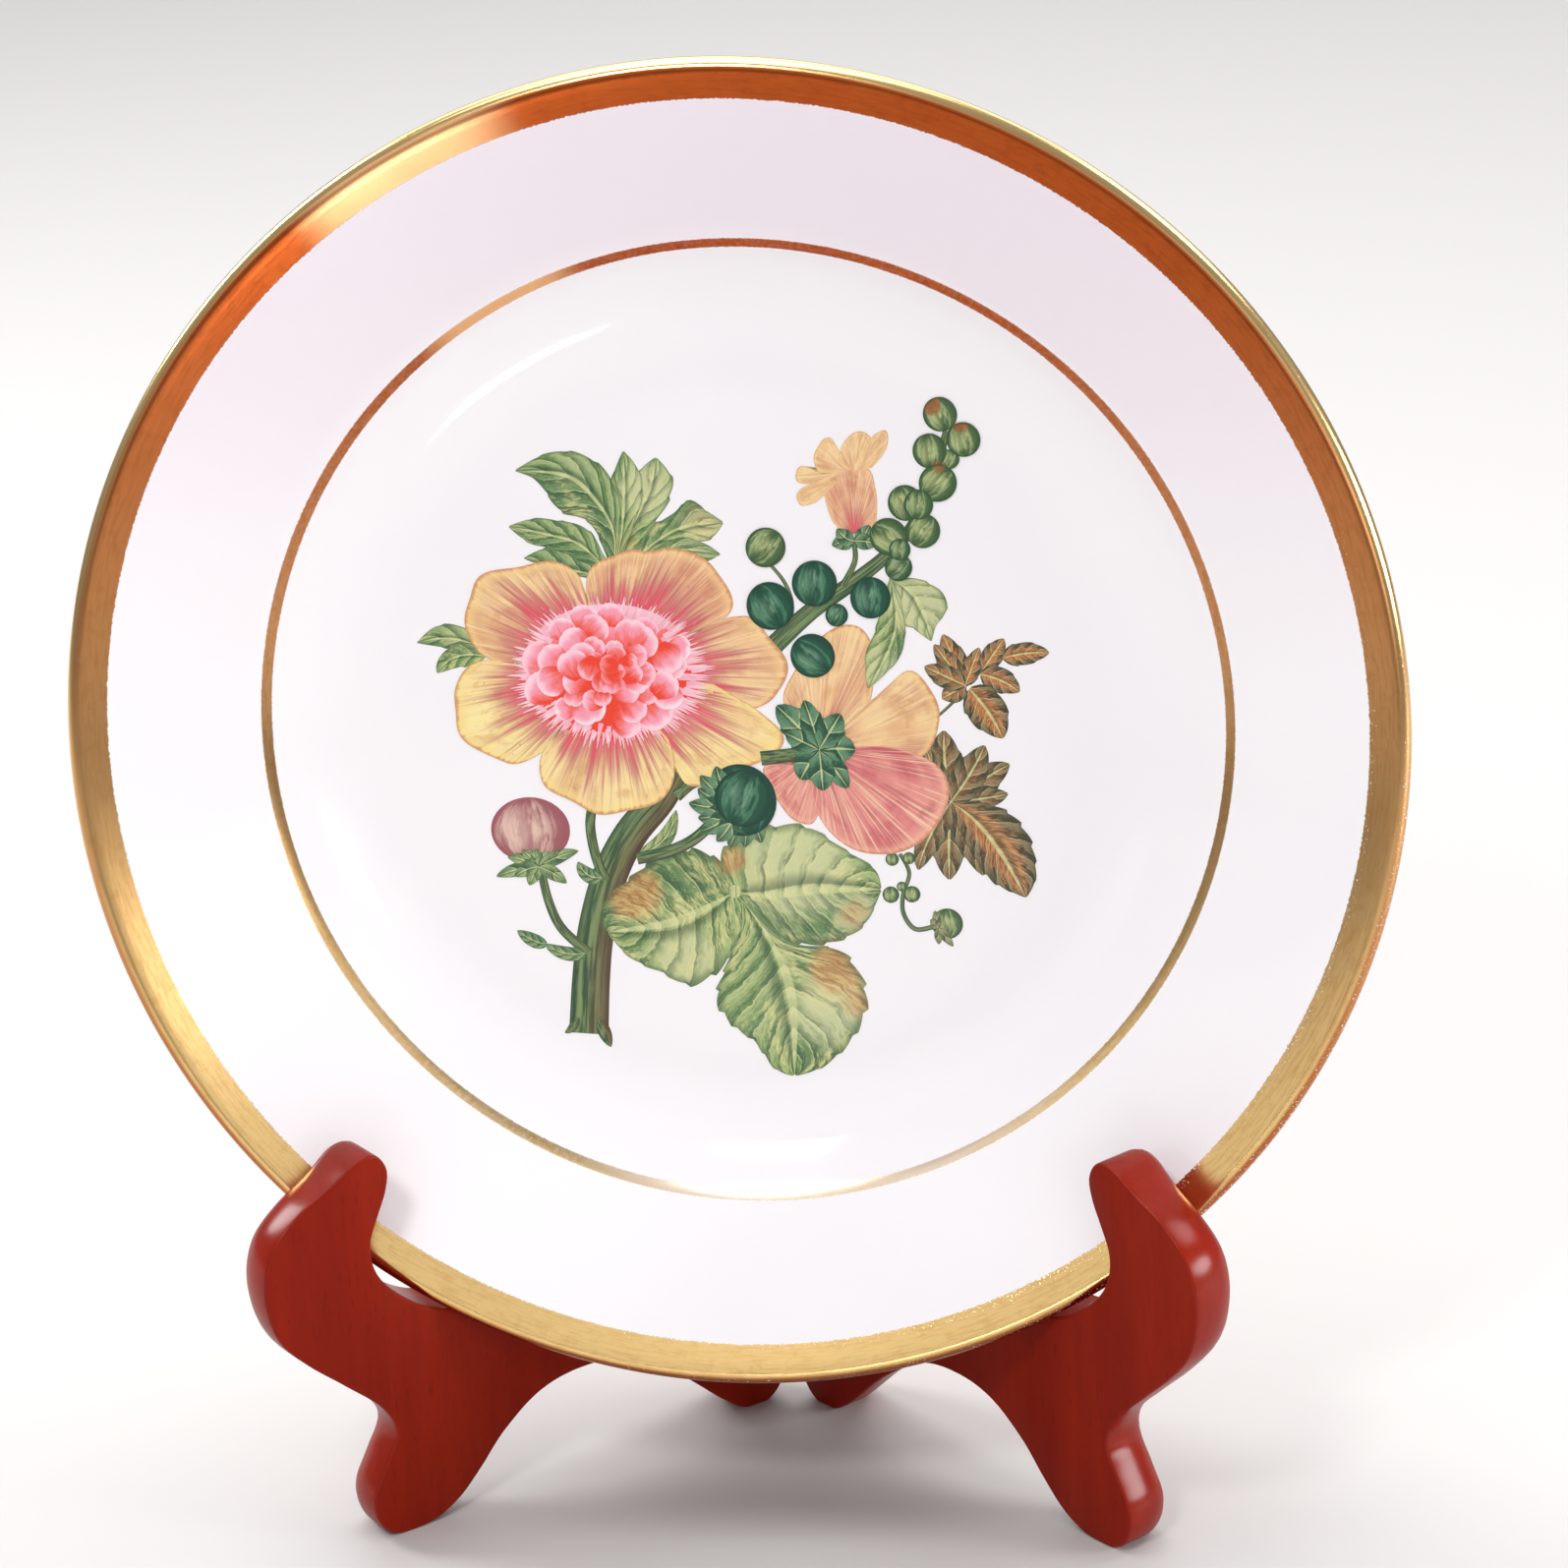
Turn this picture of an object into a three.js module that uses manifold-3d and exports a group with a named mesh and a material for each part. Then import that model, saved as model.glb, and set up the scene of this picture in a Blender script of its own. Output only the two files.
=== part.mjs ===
// A porcelain display plate on a folding wooden stand.
//
// The stand is two mirror-image boards that open like a book about a vertical spine. Two brass butt hinges,
// each of two leaves and a pin, join the boards' rear edges, and eight slotted wood screws hold the leaves.
// Each board has a front foot, a hook, a notch for the plate's rim and an upright that the plate leans on.
// The plate is one turned shell with a sloping rim, a sunk well and a foot ring.
//
// Millimetres, +Z up. The origin is on the table, at the centre of the object's bounding box, and the
// viewer looks along +Y. A board is drawn in its own frame: u runs out from the hinge axis, v is the height,
// and w runs through its thickness, from the inner face to the outer one.

import * as THREE from "three";
import { mergeVertices } from "three/addons/utils/BufferGeometryUtils.js";
import Module from "manifold-3d";

// ---- Driving dimensions ----
const PLATE_RADIUS = 118.5;
const PLATE_LEAN = THREE.MathUtils.degToRad(8);
const PLATE_CENTRE_HEIGHT = 146.3;
const PLATE_SETBACK = 38; // from the hinge axis forward to the centre of the rim's plane
const RING_RADIUS = 85.9; // where the sloping rim meets the well
const RING_DEPTH = 11.7;
const WELL_RADIUS = 70;
const WELL_DEPTH = 19.2;
const SHELL = 4; // thickness of the rim
const BASE_SHELL = 3.4;
const FOOT_RING_RADIUS = 67.2;
const FOOT_RING_WIDTH = 2.6;
const FOOT_RING_DEPTH = 24.6;
const FOOT_RING_BEVEL = 0.5;
const WELL_EASING = 12; // how far inside the well's radius its floor starts to rise
const LIP_EASING = 0.7; // how far inside the lip the front of the rim ends
const LIP_DROP = 0.12;
const LIP_ARC = [110, -70].map(THREE.MathUtils.degToRad);
const PLATE_SEGMENTS = 72;
const CURVE_STEPS = 4;

// Points that bend the plate's section, each [outward, forward] from where the rim meets the well.
const WELL_HANDLE = [-8, -4.5];
const RIM_FRONT_HANDLE = [16, 6.4];
const RIM_BACK_HANDLE = [16, 2];
const RIM_BACK_END = [1, -SHELL];
const SHOULDER_HANDLE = [-8, -8.5];

const WING_SPREAD = THREE.MathUtils.degToRad(47.5); // each board's angle from straight ahead
const BOARD_THICKNESS = 11.7;
const BOARD_GAP = 0.25; // from the plane through the hinge axis to a board's inner face
const OUTER_ROUNDING = 5.2; // on the outer face, where a hand meets the board
const EDGE_BREAK = 0.6;
const ROUND_STEPS = 3;
const PILOT_SPARE = 0.6; // how much deeper a screw's hole is than the screw

const BARREL_RADIUS = 1.7;
const LEAF_THICKNESS = 1;
const LEAF_WIDTH = 9.6;
const LEAF_GAP = 0.15; // between a leaf and the wood
const BARREL_CLEARANCE = 0.5; // from a knuckle to the flat of its leaf
const REAR_EDGE = BARREL_RADIUS + LEAF_GAP; // where the board's rear edge stands, from the hinge axis
const HINGE_LENGTH = 25;
const HINGE_HEIGHTS = { lower: 38, upper: 112 };
const KNUCKLE_GAP = 0.3;
const PIN_RADIUS = 0.95;
const PIN_BORE = 1.12;
const PIN_HEAD = { radius: 1.36, crownRadius: 0.95, from: 0.3, shoulder: 0.75, top: 0.9 };
const ROUND_SEGMENTS = 16;

const SCREW_SPACING = 14;
const SCREW_FROM_FACE = 5.6;
const SCREW_LENGTH = 9;
const SCREW_HEAD_RADIUS = 1.95;
const SCREW_SHANK_RADIUS = 1;
const SCREW_CLEARANCE = 0.15;
const SCREW_HEAD_RIM = 0.1;
const SCREW_SUNK = 0.05; // from the leaf's face down to the head
const SCREW_POINT = 2;
const SCREW_SLOT = { width: 0.5, depth: 0.45 };
const SINK_DEPTH = 3; // cuts right through the leaf
const SCREW_SEGMENTS = 12;

// ---- Materials ----
const porcelain = new THREE.MeshStandardMaterial({ color: 0xf7f2f0, roughness: 0.12, metalness: 0 });
const mahogany = new THREE.MeshStandardMaterial({ color: 0x8a2a18, roughness: 0.35, metalness: 0 });
const brass = new THREE.MeshStandardMaterial({ color: 0xc9a04e, roughness: 0.3, metalness: 1 });

// ---- Solids ----
const WELD_DISTANCE = 1e-4;
const wasm = await Module();
wasm.setup();

function solidOf(geometry) {
  const bare = geometry.clone();
  bare.deleteAttribute("normal");
  bare.deleteAttribute("uv");
  const merged = mergeVertices(bare, WELD_DISTANCE);
  return new wasm.Manifold(
    new wasm.Mesh({
      numProp: 3,
      vertProperties: merged.attributes.position.array,
      triVerts: new Uint32Array(merged.index.array),
    }),
  );
}

function geometryOf(solid) {
  const mesh = solid.getMesh();
  const geometry = new THREE.BufferGeometry();
  geometry.setAttribute("position", new THREE.BufferAttribute(mesh.vertProperties, mesh.numProp));
  geometry.setIndex(new THREE.BufferAttribute(mesh.triVerts, 1));
  geometry.computeVertexNormals();
  return geometry;
}

function part(name, geometry, material) {
  const mesh = new THREE.Mesh(geometry, material);
  mesh.name = name;
  return mesh;
}

// A cylinder along the height, between two heights.
function post(radius, from, to) {
  return new THREE.CylinderGeometry(radius, radius, to - from, ROUND_SEGMENTS)
    .rotateX(Math.PI / 2)
    .translate(0, 0, (from + to) / 2);
}

// A turned shape whose profile is [radius, distance along u] and whose axis runs along u.
function turnedAlongU(profile) {
  const points = profile.map(([radius, u]) => new THREE.Vector2(radius, u));
  return new THREE.LatheGeometry(points, SCREW_SEGMENTS).rotateZ(-Math.PI / 2);
}

// ---- Plate ----
// The section runs from the middle of the front, out over the rim and back under to the middle of the base.
// Its height is measured forward from the rim's plane.
function plateSection() {
  const lip = SHELL / 2;
  const baseDepth = WELL_DEPTH + BASE_SHELL;
  const footOuter = FOOT_RING_RADIUS + FOOT_RING_WIDTH / 2;
  const footInner = FOOT_RING_RADIUS - FOOT_RING_WIDTH / 2;
  const footTop = BASE_SHELL - FOOT_RING_WIDTH + FOOT_RING_BEVEL - baseDepth;
  const fromRing = ([outward, forward]) => [RING_RADIUS + outward, forward - RING_DEPTH];
  const section = new THREE.Path();
  section.moveTo(0, -WELL_DEPTH);
  section.lineTo(WELL_RADIUS - WELL_EASING, -WELL_DEPTH);
  section.bezierCurveTo(
    WELL_RADIUS + WELL_EASING / 2,
    -WELL_DEPTH,
    ...fromRing(WELL_HANDLE),
    ...fromRing([0, 0]),
  );
  section.quadraticCurveTo(...fromRing(RIM_FRONT_HANDLE), PLATE_RADIUS - lip - LIP_EASING, -LIP_DROP);
  section.absarc(PLATE_RADIUS - lip, -lip, lip, ...LIP_ARC, true);
  section.quadraticCurveTo(...fromRing(RIM_BACK_HANDLE), ...fromRing(RIM_BACK_END));
  section.quadraticCurveTo(...fromRing(SHOULDER_HANDLE), footOuter + FOOT_RING_WIDTH / 2, footTop);
  section.lineTo(footOuter, -FOOT_RING_DEPTH + FOOT_RING_BEVEL);
  section.lineTo(footOuter - FOOT_RING_BEVEL, -FOOT_RING_DEPTH);
  section.lineTo(footInner + FOOT_RING_BEVEL, -FOOT_RING_DEPTH);
  section.lineTo(footInner, -FOOT_RING_DEPTH + FOOT_RING_BEVEL);
  section.lineTo(footInner - 2 * FOOT_RING_BEVEL, -baseDepth);
  section.lineTo(0, -baseDepth);
  return section.getPoints(CURVE_STEPS);
}

function plate() {
  const turned = new THREE.LatheGeometry(plateSection().reverse(), PLATE_SEGMENTS);
  const mesh = part("plate", turned, porcelain);
  mesh.rotation.x = Math.PI - PLATE_LEAN;
  mesh.position.set(0, -PLATE_SETBACK, PLATE_CENTRE_HEIGHT);
  return mesh;
}

// ---- Boards ----
// The outline's stretches, anticlockwise from the rear foot. Each is a spline or a line through [u, v]
// points, with the rounding that it has on the outer face and the number of steps that it is drawn with.
const BOARD_OUTLINE = [
  { name: "rear sole", rounding: 3, steps: 2, points: [[REAR_EDGE + 4.2, 0], [10.8, 0]] },
  {
    name: "arch",
    rounding: OUTER_ROUNDING,
    steps: 18,
    points: [
      [10.8, 0], [16, 3.4], [26, 12.2], [37, 18.9], [47, 20.3], [56, 18.5], [64, 13.2], [70, 6.9], [75.2, 2],
      [81.5, 0],
    ],
  },
  { name: "front sole", rounding: 3.5, steps: 2, points: [[81.5, 0], [88.2, 0]] },
  {
    name: "shin and bulge",
    rounding: OUTER_ROUNDING,
    steps: 28,
    points: [
      [88.2, 0], [91.6, 3.6], [92, 9.4], [89.2, 15], [86.6, 20.4], [89.2, 26.2], [96.2, 32.8],
      [103.2, 39.1], [108.3, 45], [110.9, 51.6], [110.9, 58.2], [108.1, 64], [102.7, 68.6], [95.8, 72],
    ],
  },
  {
    name: "hook tip",
    rounding: 2.9,
    steps: 6,
    points: [[95.8, 72], [90.4, 75], [86.4, 75.2], [84.2, 71.9]],
  },
  {
    name: "back of hook",
    rounding: 5,
    steps: 6,
    points: [[84.2, 71.9], [84.8, 67.8], [86.8, 63.4], [88.7, 58.9]],
  },
  {
    name: "notch",
    rounding: EDGE_BREAK,
    steps: 11,
    points: [
      [88.7, 58.9], [88.6, 54.6], [86.8, 50.6], [83.2, 46.7], [78.6, 43.2], [73.6, 41.2], [68.6, 41.6],
      [64.6, 44.9],
    ],
  },
  {
    name: "upright",
    rounding: 1.2,
    steps: 16,
    points: [
      [64.6, 44.9], [57.4, 54.4], [48.8, 63.6], [40.2, 71.8], [33.2, 80], [29.6, 89], [28.1, 100],
      [25.9, 118], [23.4, 134], [21.6, 144],
    ],
  },
  {
    name: "crown",
    rounding: 2.6,
    steps: 8,
    points: [[21.6, 144], [18.6, 150.4], [13, 152.8], [6.8, 149.6], [REAR_EDGE + 0.6, 142.4]],
  },
  { name: "rear edge", rounding: EDGE_BREAK, steps: 2, points: [[REAR_EDGE, 137], [REAR_EDGE, 7]] },
  {
    name: "heel",
    rounding: 2,
    steps: 5,
    points: [[REAR_EDGE, 7], [REAR_EDGE + 0.9, 2.8], [REAR_EDGE + 4.2, 0]],
  },
];

// The outline's points, each with the rounding there, eased from one stretch to the next.
function boardOutline() {
  const points = [];
  const rounding = [];
  for (const stretch of BOARD_OUTLINE) {
    const curve = new THREE.SplineCurve(stretch.points.map(([u, v]) => new THREE.Vector2(u, v)));
    const drawn = curve.getSpacedPoints(stretch.steps);
    const joinsNext = stretch.name !== "crown";
    for (const point of joinsNext ? drawn.slice(0, -1) : drawn) {
      points.push(point);
      rounding.push(stretch.rounding);
    }
  }
  const eased = rounding.map((_, i) => {
    const near = [-2, -1, 0, 1, 2].map((step) => rounding.at((i + step) % rounding.length));
    return near.reduce((sum, value) => sum + value, 0) / near.length;
  });
  return { points, rounding: eased };
}

// The inward normal at each point of an anticlockwise outline.
function inwardNormals(points) {
  return points.map((_, i) => {
    const ahead = points[(i + 1) % points.length];
    const behind = points.at(i - 1);
    return new THREE.Vector2(behind.y - ahead.y, ahead.x - behind.x).normalize();
  });
}

// Skins a stack of rings, each of the same number of points, and caps both ends.
function skin(rings, capOutlines) {
  const count = rings[0].length;
  const index = [];
  for (let layer = 0; layer + 1 < rings.length; layer++) {
    for (let i = 0; i < count; i++) {
      const [a, b] = [layer * count + i, layer * count + ((i + 1) % count)];
      index.push(a, b + count, b, a, a + count, b + count);
    }
  }
  const last = (rings.length - 1) * count;
  for (const [a, b, c] of THREE.ShapeUtils.triangulateShape(capOutlines[0], [])) {
    index.push(a, b, c);
  }
  for (const [a, b, c] of THREE.ShapeUtils.triangulateShape(capOutlines[1], [])) {
    index.push(last + c, last + b, last + a);
  }
  const geometry = new THREE.BufferGeometry();
  geometry.setAttribute("position", new THREE.Float32BufferAttribute(rings.flat(2), 3));
  geometry.setIndex(index);
  return geometry;
}

function roundedBoard() {
  const { points, rounding } = boardOutline();
  const inward = inwardNormals(points);
  const layers = [];
  for (let step = 0; step <= 1; step++) {
    const turn = step * (Math.PI / 2);
    layers.push(() => ({ w: EDGE_BREAK * (1 - Math.cos(turn)), inset: EDGE_BREAK * (1 - Math.sin(turn)) }));
  }
  for (let step = 0; step <= ROUND_STEPS; step++) {
    const turn = (step / ROUND_STEPS) * (Math.PI / 2);
    layers.push((radius) => ({
      w: BOARD_THICKNESS - radius * (1 - Math.sin(turn)),
      inset: radius * (1 - Math.cos(turn)),
    }));
  }
  const flat = layers.map((layer) =>
    points.map((point, i) => point.clone().addScaledVector(inward[i], layer(rounding[i]).inset)),
  );
  const rings = flat.map((ring, n) =>
    ring.map((point, i) => [point.x, BOARD_GAP + layers[n](rounding[i]).w, point.y]),
  );
  return skin(rings, [flat[0], flat.at(-1)]);
}

const SCREW_OFFSETS = { bottom: -SCREW_SPACING / 2, top: SCREW_SPACING / 2 };

function screwHeights() {
  const offsets = Object.values(SCREW_OFFSETS);
  return Object.values(HINGE_HEIGHTS).flatMap((height) => offsets.map((offset) => height + offset));
}

function board() {
  let wood = solidOf(roundedBoard());
  const radius = SCREW_SHANK_RADIUS + SCREW_CLEARANCE;
  const depth = REAR_EDGE + SCREW_LENGTH + PILOT_SPARE;
  const pilot = turnedAlongU([[0, 0], [radius, 0], [radius, depth - radius], [0, depth]]);
  for (const height of screwHeights()) {
    wood = wood.subtract(solidOf(pilot.clone().translate(0, SCREW_FROM_FACE, height)));
  }
  return geometryOf(wood);
}

// ---- Hinges ----
// A leaf lies on the board's rear edge. The left leaf has the two end knuckles and the right leaf has the
// middle one.
function knuckleSpans(side) {
  const third = HINGE_LENGTH / 3;
  const half = HINGE_LENGTH / 2;
  const middle = [-third / 2, third / 2];
  if (side === "right") return [[middle[0] + KNUCKLE_GAP / 2, middle[1] - KNUCKLE_GAP / 2]];
  return [[-half, middle[0] - KNUCKLE_GAP / 2], [middle[1] + KNUCKLE_GAP / 2, half]];
}

function box(uFrom, uTo, wFrom, wTo, vFrom, vTo) {
  return new THREE.BoxGeometry(uTo - uFrom, wTo - wFrom, vTo - vFrom).translate(
    (uFrom + uTo) / 2,
    (wFrom + wTo) / 2,
    (vFrom + vTo) / 2,
  );
}

function leaf(side) {
  const front = BARREL_RADIUS;
  const back = BARREL_RADIUS - LEAF_THICKNESS;
  const flatFrom = BARREL_RADIUS + BARREL_CLEARANCE;
  let metal = solidOf(box(back, front, flatFrom, LEAF_WIDTH, -HINGE_LENGTH / 2, HINGE_LENGTH / 2));
  for (const [from, to] of knuckleSpans(side)) {
    metal = metal.add(solidOf(post(BARREL_RADIUS, from, to)));
    metal = metal.add(solidOf(box(back, front, 0, flatFrom + BARREL_CLEARANCE, from, to)));
  }
  metal = metal.subtract(solidOf(post(PIN_BORE, -HINGE_LENGTH, HINGE_LENGTH)));
  const head = SCREW_HEAD_RADIUS + SCREW_CLEARANCE;
  const shank = SCREW_SHANK_RADIUS + SCREW_CLEARANCE;
  const rim = back + SCREW_HEAD_RIM;
  const sink = turnedAlongU([
    [0, 0], [head, 0], [head, rim], [shank, rim + head - shank], [shank, SINK_DEPTH], [0, SINK_DEPTH],
  ]);
  for (const offset of Object.values(SCREW_OFFSETS)) {
    metal = metal.subtract(solidOf(sink.clone().translate(0, SCREW_FROM_FACE, offset)));
  }
  return geometryOf(metal);
}

function pin() {
  const half = HINGE_LENGTH / 2;
  const { radius, crownRadius, from, shoulder, top } = PIN_HEAD;
  const profile = [
    [0, -half - top], [crownRadius, -half - shoulder], [radius, -half - from], [PIN_RADIUS, -half - from],
    [PIN_RADIUS, half + from], [radius, half + from], [crownRadius, half + shoulder], [0, half + top],
  ];
  const points = profile.map(([distance, height]) => new THREE.Vector2(distance, height));
  return new THREE.LatheGeometry(points, ROUND_SEGMENTS).rotateX(Math.PI / 2);
}

function screw() {
  const top = BARREL_RADIUS - LEAF_THICKNESS + SCREW_SUNK;
  const rim = top + SCREW_HEAD_RIM;
  const taper = SCREW_HEAD_RADIUS - SCREW_SHANK_RADIUS;
  const tip = top + SCREW_LENGTH;
  const turned = turnedAlongU([
    [0, top], [SCREW_HEAD_RADIUS, top], [SCREW_HEAD_RADIUS, rim], [SCREW_SHANK_RADIUS, rim + taper],
    [SCREW_SHANK_RADIUS, tip - SCREW_POINT], [0, tip],
  ]);
  const { width, depth } = SCREW_SLOT;
  const slot = box(0, top + depth, -SCREW_HEAD_RADIUS, SCREW_HEAD_RADIUS, -width / 2, width / 2);
  return geometryOf(solidOf(turned).subtract(solidOf(slot))).translate(0, SCREW_FROM_FACE, 0);
}

// ---- Assembly ----
// A wing is a board with its leaves and screws. The left one is the right one's mirror image.
function wing(side) {
  const mirrored = side === "left" ? -1 : 1;
  const group = new THREE.Group();
  group.rotation.z = mirrored * WING_SPREAD - Math.PI / 2;
  group.scale.y = mirrored;
  group.add(part(`${side}_board`, board(), mahogany));
  for (const [place, height] of Object.entries(HINGE_HEIGHTS)) {
    const plateLeaf = part(`${place}_hinge_${side}_leaf`, leaf(side), brass);
    plateLeaf.position.z = height;
    group.add(plateLeaf);
    for (const [end, offset] of Object.entries(SCREW_OFFSETS)) {
      const fixing = part(`${place}_hinge_${side}_${end}_screw`, screw(), brass);
      fixing.position.z = height + offset;
      group.add(fixing);
    }
  }
  return group;
}

const assembly = new THREE.Group();
assembly.add(plate(), wing("left"), wing("right"));
for (const [place, height] of Object.entries(HINGE_HEIGHTS)) {
  const hingePin = part(`${place}_hinge_pin`, pin(), brass);
  hingePin.position.z = height;
  assembly.add(hingePin);
}

// The origin goes to the middle of the bounding box, front to back.
const bounds = new THREE.Box3().setFromObject(assembly, true);
assembly.position.y = -(bounds.min.y + bounds.max.y) / 2;

const root = new THREE.Group();
root.add(assembly);

export default root;
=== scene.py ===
import bisect
import math
import random

import bmesh
import bpy
from mathutils import Matrix, Vector, noise


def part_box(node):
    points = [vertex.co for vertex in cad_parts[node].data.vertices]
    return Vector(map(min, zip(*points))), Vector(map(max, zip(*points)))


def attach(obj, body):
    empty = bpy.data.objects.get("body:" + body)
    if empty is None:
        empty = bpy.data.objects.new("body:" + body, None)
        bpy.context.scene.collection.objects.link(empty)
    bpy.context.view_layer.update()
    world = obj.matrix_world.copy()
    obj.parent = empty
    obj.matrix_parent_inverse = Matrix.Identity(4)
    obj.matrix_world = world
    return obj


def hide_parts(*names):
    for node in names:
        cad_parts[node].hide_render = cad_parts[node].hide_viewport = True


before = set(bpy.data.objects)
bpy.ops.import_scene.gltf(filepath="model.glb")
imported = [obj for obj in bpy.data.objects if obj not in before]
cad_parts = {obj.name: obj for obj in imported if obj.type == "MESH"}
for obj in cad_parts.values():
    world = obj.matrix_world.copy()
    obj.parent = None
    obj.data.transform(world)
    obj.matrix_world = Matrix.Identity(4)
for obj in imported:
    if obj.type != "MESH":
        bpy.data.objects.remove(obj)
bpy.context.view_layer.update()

MM = 0.001
random.seed(7)


# ---- Node materials ----
class Value:
    """A node's output that takes plain arithmetic. Each operation adds a Math node."""

    def __init__(self, shader, socket):
        self.shader = shader
        self.socket = socket

    def __add__(self, other):
        return self.shader.math("ADD", self, other)

    def __sub__(self, other):
        return self.shader.math("SUBTRACT", self, other)

    def __rsub__(self, other):
        return self.shader.math("SUBTRACT", other, self)

    def __mul__(self, other):
        return self.shader.math("MULTIPLY", self, other)

    def __truediv__(self, other):
        return self.shader.math("DIVIDE", self, other)

    def __pow__(self, other):
        return self.shader.math("POWER", self, other)

    def __abs__(self):
        return self.shader.math("ABSOLUTE", self)


class Shader:
    """A Principled material whose helper calls add nodes and give back their outputs."""

    def __init__(self, name, **constants):
        self.material = bpy.data.materials.new(name)
        self.material.use_nodes = True
        self.tree = self.material.node_tree
        self.bsdf = self.tree.nodes["Principled BSDF"]
        for socket, value in constants.items():
            self.bsdf.inputs[socket.replace("_", " ")].default_value = value

    def output(self, kind, inputs=(), socket=0, **settings):
        made = self.tree.nodes.new("ShaderNode" + kind)
        for setting, value in settings.items():
            setattr(made, setting, value)
        for name, value in dict(inputs).items():
            self.put(made.inputs[name], value)
        return Value(self, made.outputs[socket])

    def put(self, socket, value):
        if isinstance(value, Value):
            self.tree.links.new(value.socket, socket)
        elif isinstance(value, tuple) and socket.type == "RGBA":
            socket.default_value = (*value, 1)
        else:
            socket.default_value = value

    def drive(self, socket, value):
        self.put(self.bsdf.inputs[socket], value)

    def math(self, operation, a, b=0.0):
        return self.output("Math", {0: a, 1: b}, operation=operation)

    def split(self, vector):
        x = self.output("SeparateXYZ", {0: vector})
        return x, Value(self, x.socket.node.outputs[1])

    def join(self, x, y, z=0.0):
        return self.output("CombineXYZ", {0: x, 1: y, 2: z})

    def uv(self, name):
        return self.output("UVMap", uv_map=name)

    def attribute(self, name):
        return self.output("Attribute", socket="Fac", attribute_name=name)

    def object_place(self):
        return self.output("TexCoord", socket="Object")

    def noise(self, place, scale=1.0, detail=2.0, rough=0.5, stretch=None):
        if stretch:
            place = self.output("VectorMath", {0: place, 1: stretch}, operation="MULTIPLY")
        inputs = {"Vector": place, "Scale": scale, "Detail": detail, "Roughness": rough}
        return self.output("TexNoise", inputs, "Fac")

    def bump(self, height, strength, distance):
        inputs = {"Height": height, "Strength": strength, "Distance": distance}
        self.drive("Normal", self.output("Bump", inputs))


def smooth(value, low, high):
    """0 where the value is low, 1 where it is high, eased between. low may be the larger."""
    inputs = {"Value": value, "From Min": low, "From Max": high}
    return value.shader.output("MapRange", inputs, interpolation_type="SMOOTHSTEP")


def mix(factor, a, b):
    """Colour a where the factor is 0, and b where it is 1."""
    return factor.shader.output("Mix", {0: factor, 6: a, 7: b}, 2, data_type="RGBA")


def largest(a, b):
    return a.shader.math("MAXIMUM", a, b)


def srgb(red, green, blue):
    """A colour given as 0 to 255 on the screen, as the linear numbers that a shader takes."""
    parts = (value / 255 for value in (red, green, blue))
    return tuple(c / 12.92 if c <= 0.04045 else ((c + 0.055) / 1.055) ** 2.4 for c in parts)


# ---- Meshes ----
def new_object(name, mesh):
    made = bpy.data.objects.new(name, mesh)
    bpy.context.scene.collection.objects.link(made)
    return made


def mesh_from(name, points, faces, rounded=True):
    mesh = bpy.data.meshes.new(name)
    mesh.from_pydata([tuple(point) for point in points], [], faces)
    mesh.polygons.foreach_set("use_smooth", [rounded] * len(mesh.polygons))
    return mesh


def tidy_normals(mesh, join_within=None):
    """Turns every face outward, and first joins points that are closer than a distance, if one is given."""
    work = bmesh.new()
    work.from_mesh(mesh)
    if join_within:
        bmesh.ops.remove_doubles(work, verts=work.verts, dist=join_within)
    bmesh.ops.recalc_face_normals(work, faces=work.faces)
    work.to_mesh(mesh)
    work.free()


def set_uv(mesh, name, by_vertex):
    layer = mesh.uv_layers.new(name=name)
    loops = [0] * len(mesh.loops)
    mesh.loops.foreach_get("vertex_index", loops)
    layer.data.foreach_set("uv", [part for vertex in loops for part in by_vertex[vertex]])


def set_values(mesh, name, by_vertex):
    mesh.attributes.new(name, "FLOAT", "POINT").data.foreach_set("value", by_vertex)


def spline(points, steps, closed=False):
    """Points along a Catmull-Rom curve through the given points, of any number of dimensions."""
    count = len(points)
    made = []
    for i in range(count if closed else count - 1):
        if closed:
            near = [points[(i + k) % count] for k in (-1, 0, 1, 2)]
        else:
            near = [points[min(max(i + k, 0), count - 1)] for k in (-1, 0, 1, 2)]
        for step in range(steps):
            made.append(catmull_rom(near, step / steps))
    if not closed:
        made.append(tuple(points[-1]))
    return made


def catmull_rom(near, t):
    made = []
    for a, b, c, d in zip(*near):
        slope_b, slope_c = (c - a) / 2, (d - b) / 2
        cubic = (2 * b - 2 * c + slope_b + slope_c) * t**3
        square = (-3 * b + 3 * c - 2 * slope_b - slope_c) * t**2
        made.append(cubic + square + slope_b * t + b)
    return tuple(made)


def bezier(controls, t):
    while len(controls) > 1:
        controls = [tuple(a + (b - a) * t for a, b in zip(p, q)) for p, q in zip(controls, controls[1:])]
    return controls[0]


def traced(controls, steps, with_end=False):
    """Points along a Bezier curve, from its start, in even steps."""
    return [bezier(controls, step / steps) for step in range(steps + with_end)]


# ---- The plate's shape ----
# Millimetres. Its profile is (radius, depth behind the plane of the rim).
LEAN = math.radians(8)
LIP = 2.0
plate_low, plate_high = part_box("plate")
INSIDE_BOX = 0.02
RIM_RADIUS = (plate_high[0] - plate_low[0]) / 2 / MM - INSIDE_BOX
WELL_RADIUS = 70.0
WELL_DEPTH = 19.2
RING_RADIUS = 85.9
RING_DEPTH = 11.7
BASE_DEPTH = 22.6
FOOT_DEPTH = 24.55
FOOT_RADIUS = 67.2
SHELL = 4.0
BAND_INNER_RADIUS = 111.3
PLATE_SEGMENTS = 288

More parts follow.
